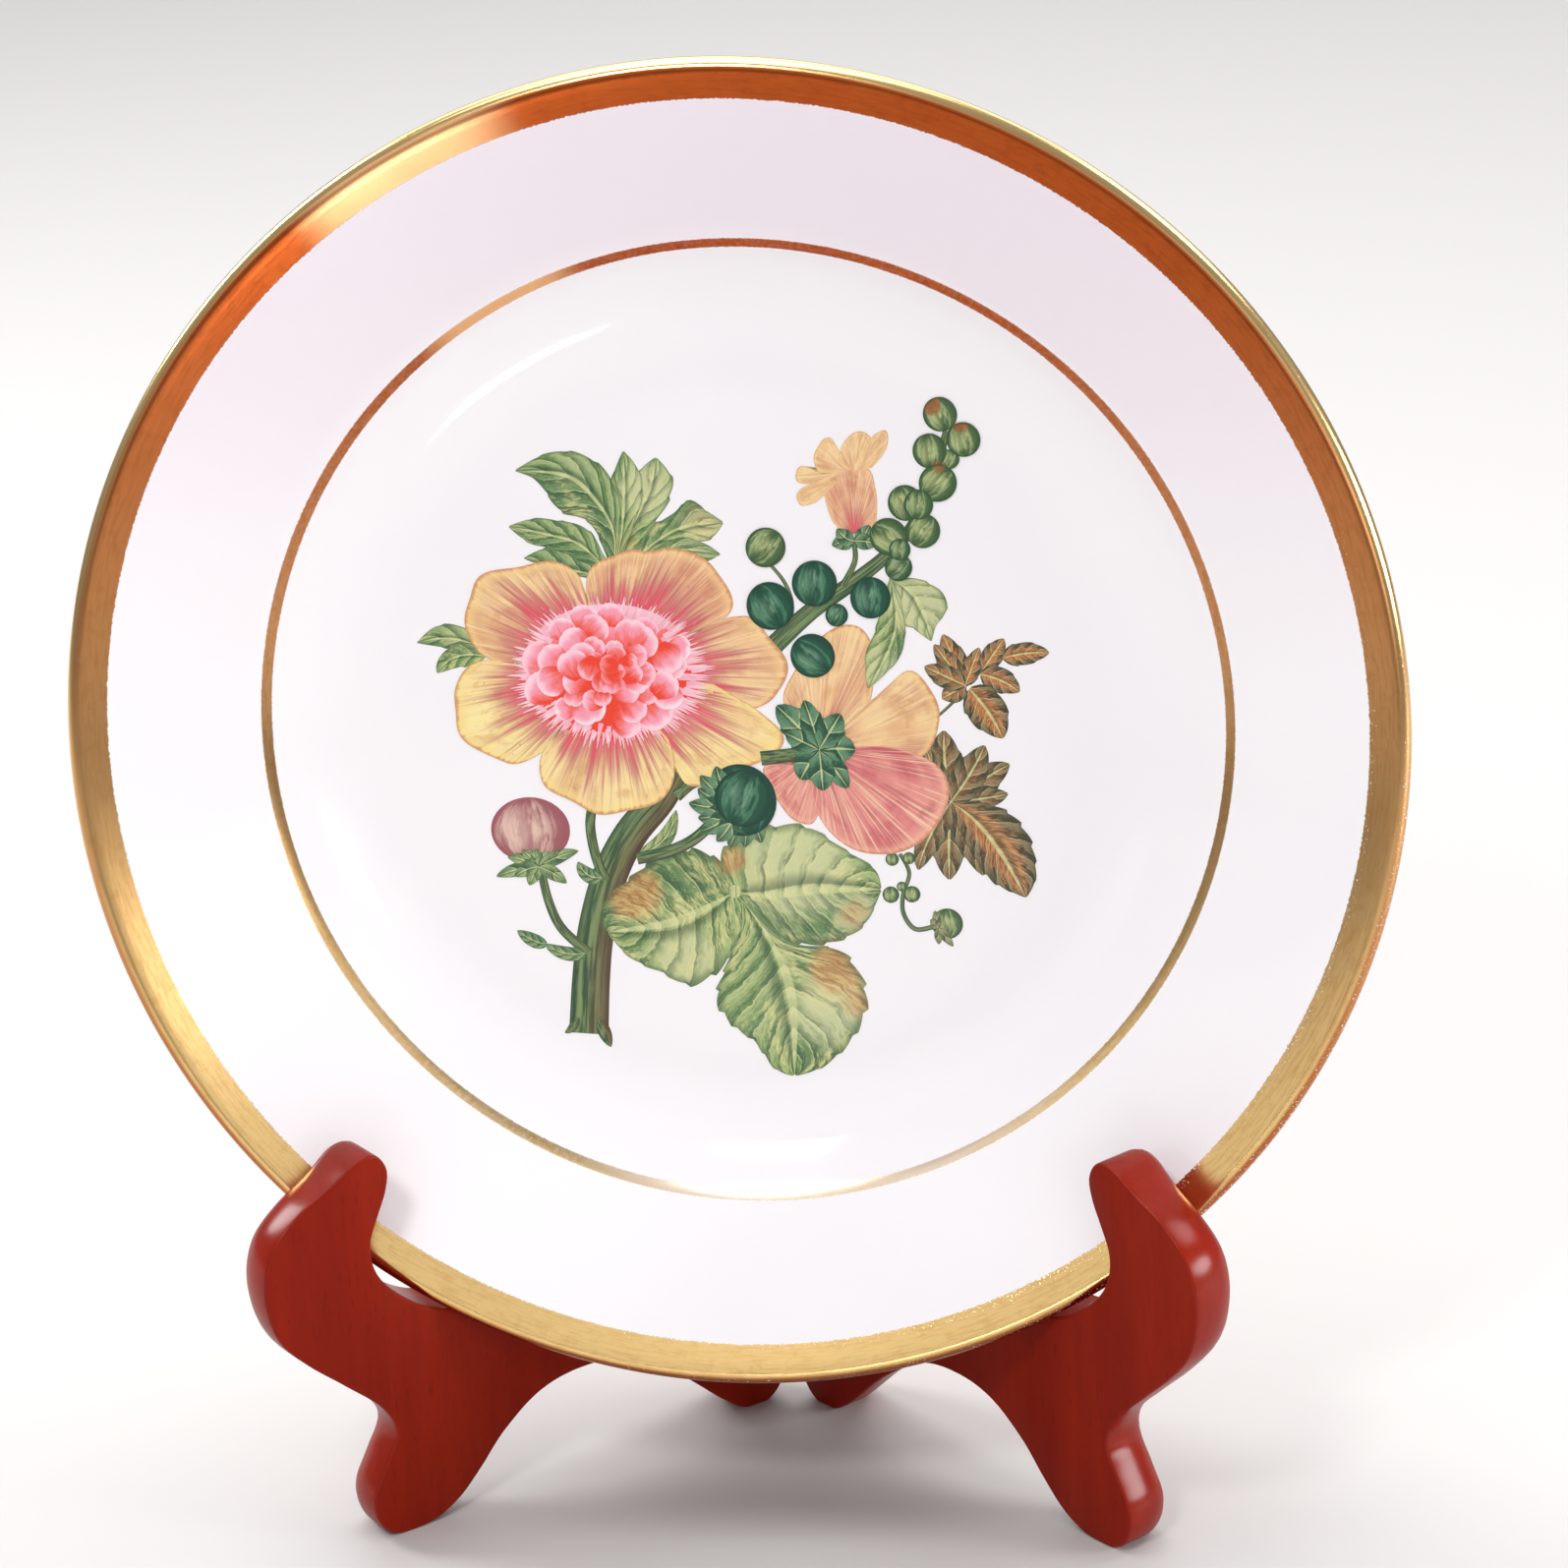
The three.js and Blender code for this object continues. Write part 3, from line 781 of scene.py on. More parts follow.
def bud_paint():
    """Round buds. Tone 0 is olive, 0.5 is dark teal and 1 is mauve."""
    paint = Paint("bud_enamel")
    x, y = paint.across, paint.along
    square = x * x + y * y
    depth = paint.math("SQRT", largest(1.0 - square, 0.02))
    longitude = paint.math("ARCTAN2", x, depth)
    brush = paint.noise(paint.join(longitude * 5, y * 1.4, paint.seed), 1, 4, 0.6)
    seams = paint.math("SINE", longitude * 5.5 + brush * 5.0 + y * 0.8)
    lit = depth - x * 0.22 + brush - 0.5
    teal, mauve = smooth(paint.tone, 0.2, 0.45), smooth(paint.tone, 0.6, 0.9)
    olive_body = mix(smooth(lit, 0.65, 1.2), srgb(72, 104, 62), srgb(190, 200, 138))
    teal_body = mix(smooth(lit, 0.7, 1.3), srgb(26, 80, 60), srgb(126, 174, 140))
    mauve_body = mix(smooth(lit, 0.5, 1.1), srgb(160, 96, 100), srgb(232, 196, 180))
    colour = mix(mauve, mix(teal, olive_body, teal_body), mauve_body)
    shadow = mix(mauve, mix(teal, srgb(48, 76, 42), srgb(16, 58, 44)), srgb(160, 86, 98))
    light = mix(mauve, mix(teal, srgb(196, 206, 150), srgb(96, 152, 116)), srgb(240, 206, 190))
    colour = mix(smooth(seams, 0.5, 0.95) * 0.45, colour, shadow)
    colour = mix(smooth(seams, -0.7, -0.98) * 0.4, colour, light)
    rusty = smooth(paint.attribute("rust") + brush - 0.5, 0.3, 0.6)
    colour = mix(rusty * 0.8, colour, srgb(160, 92, 46))
    colour = mix(smooth(square, 0.6, 0.97) * 0.8, colour, shadow)
    return paint.finish(colour)


HEART = (-23.5, 8.0)


def paint_main_bloom(petals, ruff, fringe):
    outlines = [
        # the outline from one side to the other, and its tone
        ([(-8, 15), (-2, 18.5), (-1.5, 23), (-4, 27), (-8, 29.5), (-12, 30.5), (-16.5, 29.5), (-19.5, 30),
          (-24.5, 28.5), (-27, 26), (-27.5, 22)], 0.4),
        ([(-38, 9), (-46.5, 11), (-49, 16), (-48.5, 21.5), (-46.5, 25.5), (-40, 27.5), (-35, 28.2),
          (-31, 27.5), (-28.5, 25.5), (-27.5, 22)], 0.24),
        ([(-8, 15), (-5, 17), (-1, 18), (2.5, 17.5), (5.5, 14.5), (8, 10.5), (8.5, 7.5), (7, 5), (3, 2),
          (-1, 1.5), (-5, 5)], 0.34),
        ([(-33, -3), (-36.5, -6.5), (-41, -8.5), (-44.5, -8.2), (-48, -6.5), (-51.5, -3), (-52, 1.5),
          (-51, 6), (-48.5, 9.8), (-43, 10.3), (-39, 9)], 0.0),
        ([(-5, 6), (-1, 3.5), (3, 1), (6.5, -2), (7, -4.5), (4, -7.5), (0, -9.3), (-4.5, -10.2),
          (-7.5, -12.8), (-10.5, -12.6), (-12.5, -9), (-15.5, -3.5)], 0.02),
        ([(-13.5, -4), (-12.5, -9), (-13.5, -13), (-17, -15.8), (-22, -17.6), (-27, -17.8), (-32, -15.6),
          (-36, -12.5), (-37, -8.5), (-35.5, -5), (-33, -3)], 0.1),
    ]
    for number, (outline, tone) in enumerate(outlines):
        fan(petals, HEART, outline, 4 + number, tone, 0.74, start=0.3, ripple=0.02, across=56)
    disc(ruff, HEART[0], HEART[1] + 0.2, 16.2, 11, 0.55, 0.76)
    strokes = 240
    for number in range(strokes):
        turn = 2 * math.pi * (number + random.uniform(-0.45, 0.45)) / strokes
        inner, outer = random.uniform(0.72, 0.9), random.uniform(0.98, 1.14)
        crimson = number % 5 == 0
        if crimson:
            inner, outer = inner + 0.28, outer + 0.16
        wide, high = 16.6 * math.cos(turn), 12.4 * math.sin(turn)
        base = (HEART[0] + wide * inner, HEART[1] + high * inner)
        tip = (HEART[0] + wide * outer, HEART[1] + high * outer)
        width, tone = (0.45, 0.8) if crimson else (random.uniform(0.6, 1.0), random.uniform(0.0, 0.35))
        stem(fringe, [base, between(base, tip, 0.5), tip], width, 0.06, 12 - crimson, tone)
    rings = [
        # number, distances across and up, length, width and tone
        (13, 13.0, 9.4, 5.0, 5.4, 0.0), (12, 10.0, 7.0, 4.8, 4.8, 0.15), (10, 6.8, 4.8, 4.4, 4.4, 0.35),
        (7, 3.8, 2.8, 3.8, 3.6, 0.6), (3, 1.3, 1.0, 2.8, 2.8, 1.0),
    ]
    for ring, (count, wide, high, length, width, tone) in enumerate(rings):
        for number in range(count):
            turn = 2 * math.pi * (number + 0.5 * ring + random.uniform(-0.3, 0.3)) / count
            off = random.uniform(0.78, 1.12)
            x, y = HEART[0] + wide * off * math.cos(turn), HEART[1] + 0.6 + high * off * math.sin(turn)
            outward = math.degrees(math.atan2(high * math.sin(turn), wide * math.cos(turn)))
            angle = outward + random.uniform(-70, 70)
            size = random.uniform(0.7, 1.3)
            cup(ruff, x, y, angle, length * size, width * size, 13 + ring, tone + random.uniform(-0.15, 0.35))


def paint_turned_bloom(petals, leaves, stems):
    """A second bloom, seen from behind."""
    centre = (13.5, -6)
    top = [(7.5, 1), (7.5, 4.5), (10, 9), (14.5, 14.5), (18, 16.5), (21.5, 16), (23.5, 13), (23.5, 8),
           (22.5, 2), (18, -1)]
    right = [(17, -1), (20.5, 1.5), (24.5, 4), (29, 8), (32, 7), (34.5, 3), (35, -1), (34, -5), (31, -7.5),
             (24, -7)]
    left = [(11, -9), (3.5, -9), (4.5, -13), (6.5, -16.5), (9, -19), (12, -19.5), (14, -15)]
    bottom = [(20, -5.5), (26, -5.5), (31.5, -7), (35, -9.5), (36.3, -13.5), (35, -18.5), (31.5, -22.5),
              (26.5, -25), (21, -25), (16.5, -22.5), (13, -18), (11.5, -12)]
    for number, (outline, tone) in enumerate([(top, 0.34), (right, 0.3), (left, 0.95), (bottom, 1.0)]):
        fan(petals, centre, outline, number, tone, 0.26)
    sepals = [(6, 2), (11, 3), (17.5, 0.5), (20, -6), (18.5, -13), (14, -13.5), (10, -11.5), (7.5, -3)]
    for number, tip in enumerate(sepals):
        bend = between(centre, tip, 0.5)
        bend = (bend[0] + random.uniform(-0.6, 0.6), bend[1] + random.uniform(-0.6, 0.6))
        leaf(leaves, centre, bend, tip, (6.2, 4.4, 5.4)[number % 3], 11 + number % 3, -1.0, 3, 0.2, 0.75, 2)
    stem(stems, [(13, -6.2), (8, -7), (3, -7.6)], 2.2, 2.6, 10)


def paint_berries(buds, stems, leaves):
    stem(stems, [(5, 12), (12.5, 18.8), (19.5, 23.6), (26, 28.6), (31, 34), (35, 42), (37.5, 51)], 3.6, 1.2,
         1, 0.1)
    berries = [
        # x, y, radius and tone
        (38, 46, 1.7, 0.1), (36.5, 54, 3.0, 0.0), (40.5, 49.5, 3.0, 0.05), (34.5, 47.5, 3.0, 0.1),
        (35.8, 41.8, 3.3, 0.05), (32.3, 38, 2.6, 0.25), (30, 38.3, 3.1, 0.05), (33, 33.3, 3.0, 0.1),
        (28.8, 30, 1.9, 0.3), (28.5, 26.8, 2.4, 0.3), (26.9, 32.3, 3.3, 0.05), (23.4, 21.4, 3.6, 0.5),
        (17.3, 18.3, 2.0, 0.4), (13.5, 24, 4.0, 0.5), (5.5, 20, 4.2, 0.5), (12.8, 11, 3.9, 0.55),
        (5, 30.5, 3.5, 0.0),
    ]
    for number, (x, y, radius, tone) in enumerate(berries):
        disc(buds, x, y, radius, 13 + number % 3, tone, 1.03, random.uniform(-50, 50))
    stem(stems, [(5.2, 28), (8, 24.5), (9.3, 21), (9.2, 18)], 0.6, 0.8, 1)
    blade(leaves, [(27.5, 24.5), (31, 22), (33, 18), (34, 13.5)], [(31, 25), (36, 23), (37, 19), (35, 16.5)],
          [(27.5, 20), (28.5, 17), (31, 15.5)], 3, 0, 3, 0.12, 5)
    blade(leaves, [(27, 25.5), (28, 18), (26.5, 12), (22.5, 5)],
          [(28.8, 21), (29.5, 15), (28.5, 11), (25.5, 7.5)], [(25.5, 21), (24, 16), (22.3, 12), (22, 8)], 12,
          0, 4, 0.1, 6)


def paint_bell(petals, leaves, stems):
    stem(stems, [(20.6, 32), (20.8, 28), (18.5, 23.5)], 0.8, 1.2, 1)
    tube = [(24.6, 34), (25, 37.5), (24.8, 41), (24, 44), (21.5, 45), (18.5, 44.8), (15.6, 42.2), (15.8, 39),
            (16.8, 35.5), (18, 33.8)]
    fan(petals, (20.8, 32.3), tube, 3, 0.5, 0.34, across=60)
    lobes = [
        ((19, 44), [(15.5, 43.5), (12, 45), (10.8, 43.6), (11.4, 42), (15, 41.6)]),
        ((18.5, 42.5), [(15, 42), (12, 41.2), (10.8, 39.6), (11.6, 38), (14, 38.4), (16, 40)]),
        ((20, 44), [(15, 43.6), (14, 46), (15.2, 49), (17, 50), (18.6, 47.6), (20, 46)]),
        ((21, 43.8), [(18.4, 46), (19.4, 49.2), (22, 51), (24, 50), (24.4, 47), (23.6, 45)]),
        ((22, 44), [(22.8, 47), (24.4, 50), (26.8, 51.2), (27.2, 49), (26, 46.6), (24.2, 44.6)]),
    ]
    for number, (base, outline) in enumerate(lobes):
        fan(petals, base, outline, 4 + number, 0.24, 0.0, across=30)
    for tip in [(16.8, 30.8), (17.8, 33.8), (23.6, 34.4), (25, 31)]:
        leaf(leaves, (20.8, 31.6), ((20.8 + tip[0]) / 2, 31.6), tip, 3.0, 9, -0.85, veins=2)


def paint_top_leaves(leaves):
    base = (-22.3, 25)
    blade(leaves, [base, (-35, 27.5), (-38.5, 28.8)], [(-26.5, 25), (-32.5, 26.5)],
          [(-27.5, 30), (-33.5, 31)], 0, -0.3, 4, 0.08, 5)
    blade(leaves, [base, (-28, 31), (-34, 33), (-41, 34.5)], [(-27, 27.5), (-32.5, 30), (-37.5, 31.5)],
          [(-26, 33.5), (-31, 35.5), (-36.5, 36)], 1, -0.15, 5, 0.1, 6)
    blade(leaves, [base, (-22, 33), (-25, 39), (-30, 43.5), (-39.5, 44.5)],
          [(-26, 34.5), (-31.5, 37), (-34, 40.5), (-36, 43)],
          [(-20.5, 36), (-21.5, 42), (-24.5, 46), (-29, 48), (-34, 47.5)], 3, -0.15, 7, 0.07, 7)
    blade(leaves, [base, (-19, 34), (-15.5, 41), (-14, 46.8)], [(-20.5, 34), (-18, 39.5), (-17.5, 44)],
          [(-15.5, 33.5), (-12, 38.5), (-11, 43)], 1, 0.0, 6, 0.1, 6)
    blade(leaves, [base, (-20.5, 34), (-20, 41), (-19.8, 48)], [(-22.3, 33), (-23.5, 38), (-22, 43.5)],
          [(-18.5, 34), (-16.5, 40), (-17, 44.5)], 2, 0.0, 5, 0.1, 6)
    blade(leaves, [base, (-14, 32), (-8.5, 34.5), (-2.3, 35)],
          [(-17.5, 33), (-11, 37), (-8.5, 39.4), (-5.5, 37.4)], [(-14, 29), (-8.5, 31), (-4.5, 32)], 0, 0.05,
          6, 0.1, 6)
    blade(leaves, [base, (-11, 30), (-3, 29.3)], [(-12, 32), (-6.5, 31.6)], [(-11, 27.5), (-6.5, 27.6)], 1,
          -0.1, 4, 0.08, 4)
    blade(leaves, [(-44, 10.5), (-49, 13.5), (-54, 14.3), (-58.5, 13.5)], [(-48, 11.5), (-53, 12.4)],
          [(-46.5, 14.6), (-51, 16.8), (-55, 16.6)], 0, -0.2, 3, 0.1, 4)
    leaf(leaves, (-46, 11), (-52, 12.5), (-55, 8), 4.6, 1, 0.05, 2)


def paint_low_leaves(leaves):
    hub = (-2.5, -32)
    blade(leaves, [hub, (-8.5, -35.5), (-15, -38), (-26, -39.7)],
          [(-3.5, -28), (-6, -25.3), (-10, -23.8), (-16, -25), (-20, -28), (-25.5, -32.8), (-27, -36)],
          [(-1, -36), (-1.5, -41), (-5.5, -47), (-11, -49.8), (-16, -47.5), (-22, -44.5)], 1, 0.0, 9, 0.07, 8)
    blade(leaves, [hub, (3.5, -33), (12, -31.8), (24, -31.5)],
          [(-1, -35), (3, -38.8), (9, -42), (16, -41.3), (21, -38)],
          [(-5, -28), (-4.3, -23.5), (0, -20.8), (6, -19.3), (11.5, -20), (17.5, -24), (22.8, -27.6)], 2, 0.0,
          9, 0.06, 8)
    blade(leaves, [(-1.5, -33.2), (3.5, -40.5), (7, -50.5), (7.3, -66.2)],
          [(1.5, -35.8), (8, -41.5), (15, -42.2), (19, -45), (21.3, -52), (18.5, -59), (13, -64.3)],
          [(-1.8, -39), (-5, -46), (-7, -52), (-4, -57), (0, -60), (3.5, -64.8)], 3, 0.0, 11, 0.07, 9)
    disc(leaves, hub[0], hub[1], 1.2, 5)


def paint_brown_leaves(leaves, stems):
    centre = (39.8, 5.6)
    sprig = [((36, 14.8), 5.0, 1.0), ((34.4, 13), 4.2, 0.7), ((32.6, 9), 4.6, 0.7), ((35.6, 3.2), 4.4, 0.8),
             ((42.4, 12.4), 3.6, 1.0)]
    for number, (tip, width, tone) in enumerate(sprig):
        leaf(leaves, centre, between(centre, tip, 0.5), tip, width, number % 3, tone, 3, veins=3)
    for base, tip, width in [((43, 8.4), (46.8, 14), 4.2), ((46.5, 10.5), (54.8, 11.4), 4.4),
                             ((42.5, 7.6), (49.4, 4.4), 5.0), ((40.4, 5), (46.3, -4), 7.6)]:
        bend = between(base, tip, 0.5)
        leaf(leaves, base, (bend[0] + 0.6, bend[1] + 0.8), tip, width, 1, 0.85, 3, veins=4)
    stem(stems, [(39.8, 5.6), (43, 8.4), (47.5, 11)], 0.8, 0.5, 0, 0.8)
    stem(stems, [(39.4, 5), (37.6, 2.6), (35, 0.2)], 0.6, 0.5, 0, 0.9)
    heart = (36.8, -15.5)
    sides = [
        ((35.5, -9), (35.8, -2.5), 7.5), ((34, -11), (32.5, -5.5), 4.5), ((41, -10), (43, -5.2), 6.5),
        ((43, -11), (47.4, -8.6), 6.5), ((43, -15), (47, -14), 5), ((32, -22), (30.6, -28), 5.5),
        ((36, -22), (36.2, -29.8), 7.4), ((40.5, -23), (42.3, -29), 5.5),
    ]
    for number, (bend, tip, width) in enumerate(sides):
        leaf(leaves, heart, bend, tip, width, number % 3, 0.55, 3, veins=4)
    blade(leaves, [heart, (41, -19), (45.5, -25), (49.8, -33)],
          [(37.5, -19.5), (40, -25), (43, -29.5), (46, -31.5)],
          [(41.5, -15.3), (47, -17), (50.5, -21), (51.8, -26), (51.6, -30)], 4, 0.75, 8, 0.1, 7)


def paint_stems_and_buds(buds, leaves, stems):
    stem(stems, [(-12, -9), (-15.5, -15), (-21, -21.5), (-25, -29), (-27.8, -38.5), (-29.2, -48),
                 (-30, -58.5)], 5.6, 7.2, 0, 0.75)
    leaf(stems, (-31.8, -55.5), (-33, -58), (-34.4, -58.3), 1.6, 1)
    leaf(stems, (-28, -56), (-26.8, -59), (-26, -61), 2.4, 1, 0.9)
    stem(stems, [(-27.5, -15), (-28.3, -20), (-27.4, -26), (-25.8, -30)], 1.8, 1.8, 1)
    stem(stems, [(-4, -17), (-9, -22), (-14, -24.6), (-20, -26)], 2.0, 2.2, 3)
    stem(stems, [(-5, -12), (-9, -12), (-12.5, -14.5)], 1.4, 2.2, 3)
    stem(stems, [(-37.6, -28), (-36.4, -34), (-34.2, -39), (-29.5, -43.5)], 1.5, 1.9, 1)
    leaf(leaves, (-37, -41.8), (-39, -42), (-42.4, -39.4), 2.6, 1, -0.6)
    leaf(leaves, (-30, -43.5), (-34, -44.5), (-37.5, -41.8), 2.6, 2, -0.5)
    leaf(leaves, (-26.5, -29.5), (-29.5, -30), (-30.8, -26.6), 2.8, 2, -0.6)
    leaf(leaves, (-19.5, -25), (-14, -24), (-12.6, -17), 3.0, 1, 0.0)
    disc(buds, -39.2, -20.8, 7.2, 2, 1.0, 0.84)
    calyx = [(-45.8, -29.4), (-43.6, -25.8), (-41, -24.6), (-38.4, -24.2), (-35.4, -25), (-30.6, -24.6),
             (-33, -30.6), (-39.8, -31), (-42.4, -29.4)]
    for tip in calyx:
        leaf(leaves, (-38, -27.6), between((-38, -26), tip, 0.5), tip, 2.6, 4, -0.4, veins=2)
    disc(buds, -0.8, -15.2, 6.3, 14, 0.55, 1.05, 20)
    for number, angle in enumerate(range(118, 300, 20)):
        turn = math.radians(angle)
        tip = (-1.5 + (7.6 + number % 2 * 1.2) * math.cos(turn), -16 + 8 * math.sin(turn))
        bend = (-1.5 + 4.5 * math.cos(turn + 0.3), -16 + 4.5 * math.sin(turn + 0.3))
        leaf(leaves, (-1.2, -15.8), bend, tip, 4.2, 14, -0.9, veins=2)
    disc(buds, -0.4, -14.9, 5.2, 16, 0.5, 1.0, -25)
    stem(stems, [(27.4, -25), (29, -28.5), (27.8, -32.5), (27.8, -36), (29.8, -38.8), (33, -38.4)], 0.7, 0.9,
         1, 0.3)
    for x, y, radius in [(26, -26, 1.2), (29, -25.8, 1.1), (25.6, -32.5, 1.5), (29.4, -32.4, 1.5),
                         (27.6, -31, 0.9), (35.6, -37.8, 2.8)]:
        disc(buds, x, y, radius, 3, 0.12)
    for tip in [(33.4, -35.4), (32.6, -37), (34, -41.6), (36.6, -42)]:
        leaf(leaves, (34, -38.6), between((34, -38.6), tip, 0.5), tip, 1.6, 4, 0.3, veins=2)


def make_painting():
    petals = Enamel("painted_petals", petal_paint())
    ruff = Enamel("painted_ruff", ruff_paint())
    fringe = Enamel("painted_fringe", fringe_paint())
    leaves = Enamel("painted_leaves", leaf_paint())
    stems = Enamel("painted_stems", stem_paint())
    buds = Enamel("painted_buds", bud_paint())
    paint_top_leaves(leaves)
    paint_turned_bloom(petals, leaves, stems)
    paint_main_bloom(petals, ruff, fringe)
    paint_berries(buds, stems, leaves)
    paint_bell(petals, leaves, stems)
    paint_low_leaves(leaves)
    paint_brown_leaves(leaves, stems)
    paint_stems_and_buds(buds, leaves, stems)
    for enamel in (petals, ruff, fringe, leaves, stems, buds):
        enamel.finish()


# ---- The stand's boards ----
# A board is drawn in its own frame, in millimetres: u out from the hinge axis, v up, and w through the board.
WING_SPREAD = math.radians(47.5)
BOARD_THICKNESS = 11.7
BOARD_GAP = 0.25
EDGE_BREAK = 0.5
REAR_EDGE = 1.85
FULL_ROUND = 5.2
BOARD_OUTLINE = [
    # u, v and the rounding of the edge on the outer face
    (6, 0, 2.6), (10.8, 0, 3.6), (16, 3.4, 5.2), (26, 12.2, 5.2), (37, 18.9, 5.2), (47, 20.3, 5.2),
    (56, 18.5, 5.2), (64, 13.2, 5.2), (69.4, 7.6, 5.2), (74.2, 3.2, 5), (79, 0.7, 4.4), (83, 0, 4),
    (87, 0, 4), (90.4, 1.8, 4.4), (92.2, 5.6, 5), (92, 9.8, 5.2), (89.2, 15, 5.2), (86.6, 20.4, 5.2),
    (89.2, 26.2, 5.2), (96.2, 32.8, 5.2), (103.2, 39.1, 5.2), (108.3, 45, 5.2), (110.5, 51.6, 5.2),
    (110.5, 58.2, 5.2), (108.1, 64, 5.2), (102.7, 68.6, 5), (95.8, 72, 4.2), (90.4, 75, 2.9),
    (86.4, 75.2, 2.9), (84.2, 71.9, 4), (84.8, 67.8, 5), (86.8, 63.4, 5), (88.7, 58.9, 3), (88.6, 54.6, 0.6),
    (86.8, 50.6, 0.6), (83.2, 46.7, 0.6), (78.6, 43.2, 0.6), (73.6, 41.2, 0.6), (68.6, 41.6, 0.6),
    (64.6, 44.9, 0.8), (57.4, 54.4, 1.2), (48.8, 63.6, 1.2), (40.2, 71.8, 1.2), (33.2, 80, 1.2),
    (29.6, 89, 1.2), (28.1, 100, 1.2), (25.9, 118, 1.2), (23.4, 134, 1.6), (21.6, 144, 2.4),
    (18.6, 150.4, 2.6), (13, 152.8, 2.6), (6.8, 149.6, 2.6), (2.45, 142.4, 1.2), (REAR_EDGE, 137, 1.8),
    (REAR_EDGE, 100, 1.8), (REAR_EDGE, 60, 1.8), (REAR_EDGE, 30, 1.8), (REAR_EDGE, 12, 1.8),
    (REAR_EDGE, 7, 1.9), (2.75, 2.8, 2.3),
]


pin_low, pin_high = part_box("lower_hinge_pin")
SPINE = Vector(((pin_low[0] + pin_high[0]) / 2, (pin_low[1] + pin_high[1]) / 2, 0))


def board_point(side, u, v, w):
    """A board's u, v and w in millimetres as a place in the object's frame, in metres."""
    turn = WING_SPREAD - math.pi / 2
    x = u * math.cos(turn) - w * math.sin(turn)
    y = u * math.sin(turn) + w * math.cos(turn)
    return SPINE + Vector((x if side == "right" else -x, y, v)) * MM


OUTLINE_SPACING = 1.1


def even_outline():
    """The closed outline as evenly spaced [u, v, rounding], kept on the table and off the hinge."""
    curve = spline(BOARD_OUTLINE, 10, closed=True)
    curve = [(max(u, REAR_EDGE), max(v, 0.0), rounding) for u, v, rounding in curve]
    made = [curve[0]]
    left = OUTLINE_SPACING
    for a, b in zip(curve, curve[1:] + curve[:1]):
        length = math.hypot(b[0] - a[0], b[1] - a[1])
        while length > 0 and left <= length:
            made.append(tuple(p + (q - p) * left / length for p, q in zip(a, b)))
            left += OUTLINE_SPACING
        left -= length
    return made[:-1]


def outline_normals(outline):
    """The unit normal into the board at each point, and how tightly the outline turns there."""
    count = len(outline)
    normals, turns = [], []
    for i in range(count):
        behind, here, ahead = outline[i - 1], outline[i], outline[(i + 1) % count]
        du, dv = ahead[0] - behind[0], ahead[1] - behind[1]
        length = math.hypot(du, dv)
        normals.append((-dv / length, du / length))
        first = math.atan2(here[1] - behind[1], here[0] - behind[0])
        second = math.atan2(ahead[1] - here[1], ahead[0] - here[0])
        turn = (second - first + math.pi) % (2 * math.pi) - math.pi
        turns.append(turn / (length / 2))
    return normals, turns


def smoothed(values, times):
    """A closed row of values, each averaged with its neighbours, several times over."""
    for _ in range(times):
        after = values[1:] + values[:1]
        values = [(values[i - 1] + 2 * values[i] + after[i]) / 4 for i in range(len(values))]
    return values


BREAK_STEPS = 3
ROUND_STEPS = 9


def board_layers(rounding):
    """(w, inset) from the inner face's edge, round to the outer face's edge."""
    layers = []
    for step in range(BREAK_STEPS + 1):
        turn = math.pi / 2 * step / BREAK_STEPS
        layers.append((EDGE_BREAK * (1 - math.cos(turn)), EDGE_BREAK * (1 - math.sin(turn))))
    deep = rounding * (1 + 0.55 * rounding / FULL_ROUND)
    for step in range(ROUND_STEPS + 1):
        turn = math.pi / 2 * step / ROUND_STEPS
        layers.append((BOARD_THICKNESS - deep * (1 - math.sin(turn)), rounding * (1 - math.cos(turn))))
    return layers


def board_mesh(side):
    outline = even_outline()
    count = len(outline)
    normals, turns = outline_normals(outline)
    tightest = [0.85 / turn if turn > 0 else 99 for turn in smoothed(turns, times=3)]
    rounding = [min(point[2], limit) for point, limit in zip(outline, tightest)]
    rounding = smoothed(rounding, times=6)
    stacks = [board_layers(value) for value in rounding]
    points = []
    for layer in range(len(stacks[0])):
        for (u, v, _), (nu, nv), stack in zip(outline, normals, stacks):
            w, inset = stack[layer]
            points.append(board_point(side, u + nu * inset, max(v + nv * inset, 0.0), BOARD_GAP + w))
    wear = [step / BREAK_STEPS for step in range(BREAK_STEPS + 1)]
    wear += [math.cos(math.pi / 2 * step / ROUND_STEPS) for step in range(ROUND_STEPS + 1)]
    handled = [value for value in wear for _ in range(count)]
    faces = []
    for layer in range(len(stacks[0]) - 1):
        for i in range(count):
            a, b = layer * count + i, layer * count + (i + 1) % count
            faces.append((a, a + count, b + count, b))
    faces.append(tuple(range(count)))
    faces.append(tuple(reversed(range(len(points) - count, len(points)))))
    mesh = mesh_from(side + "_board", points, faces)
    tidy_normals(mesh)
    mesh.set_sharp_from_angle(angle=math.radians(38))
    set_values(mesh, "handled", handled)
    return mesh


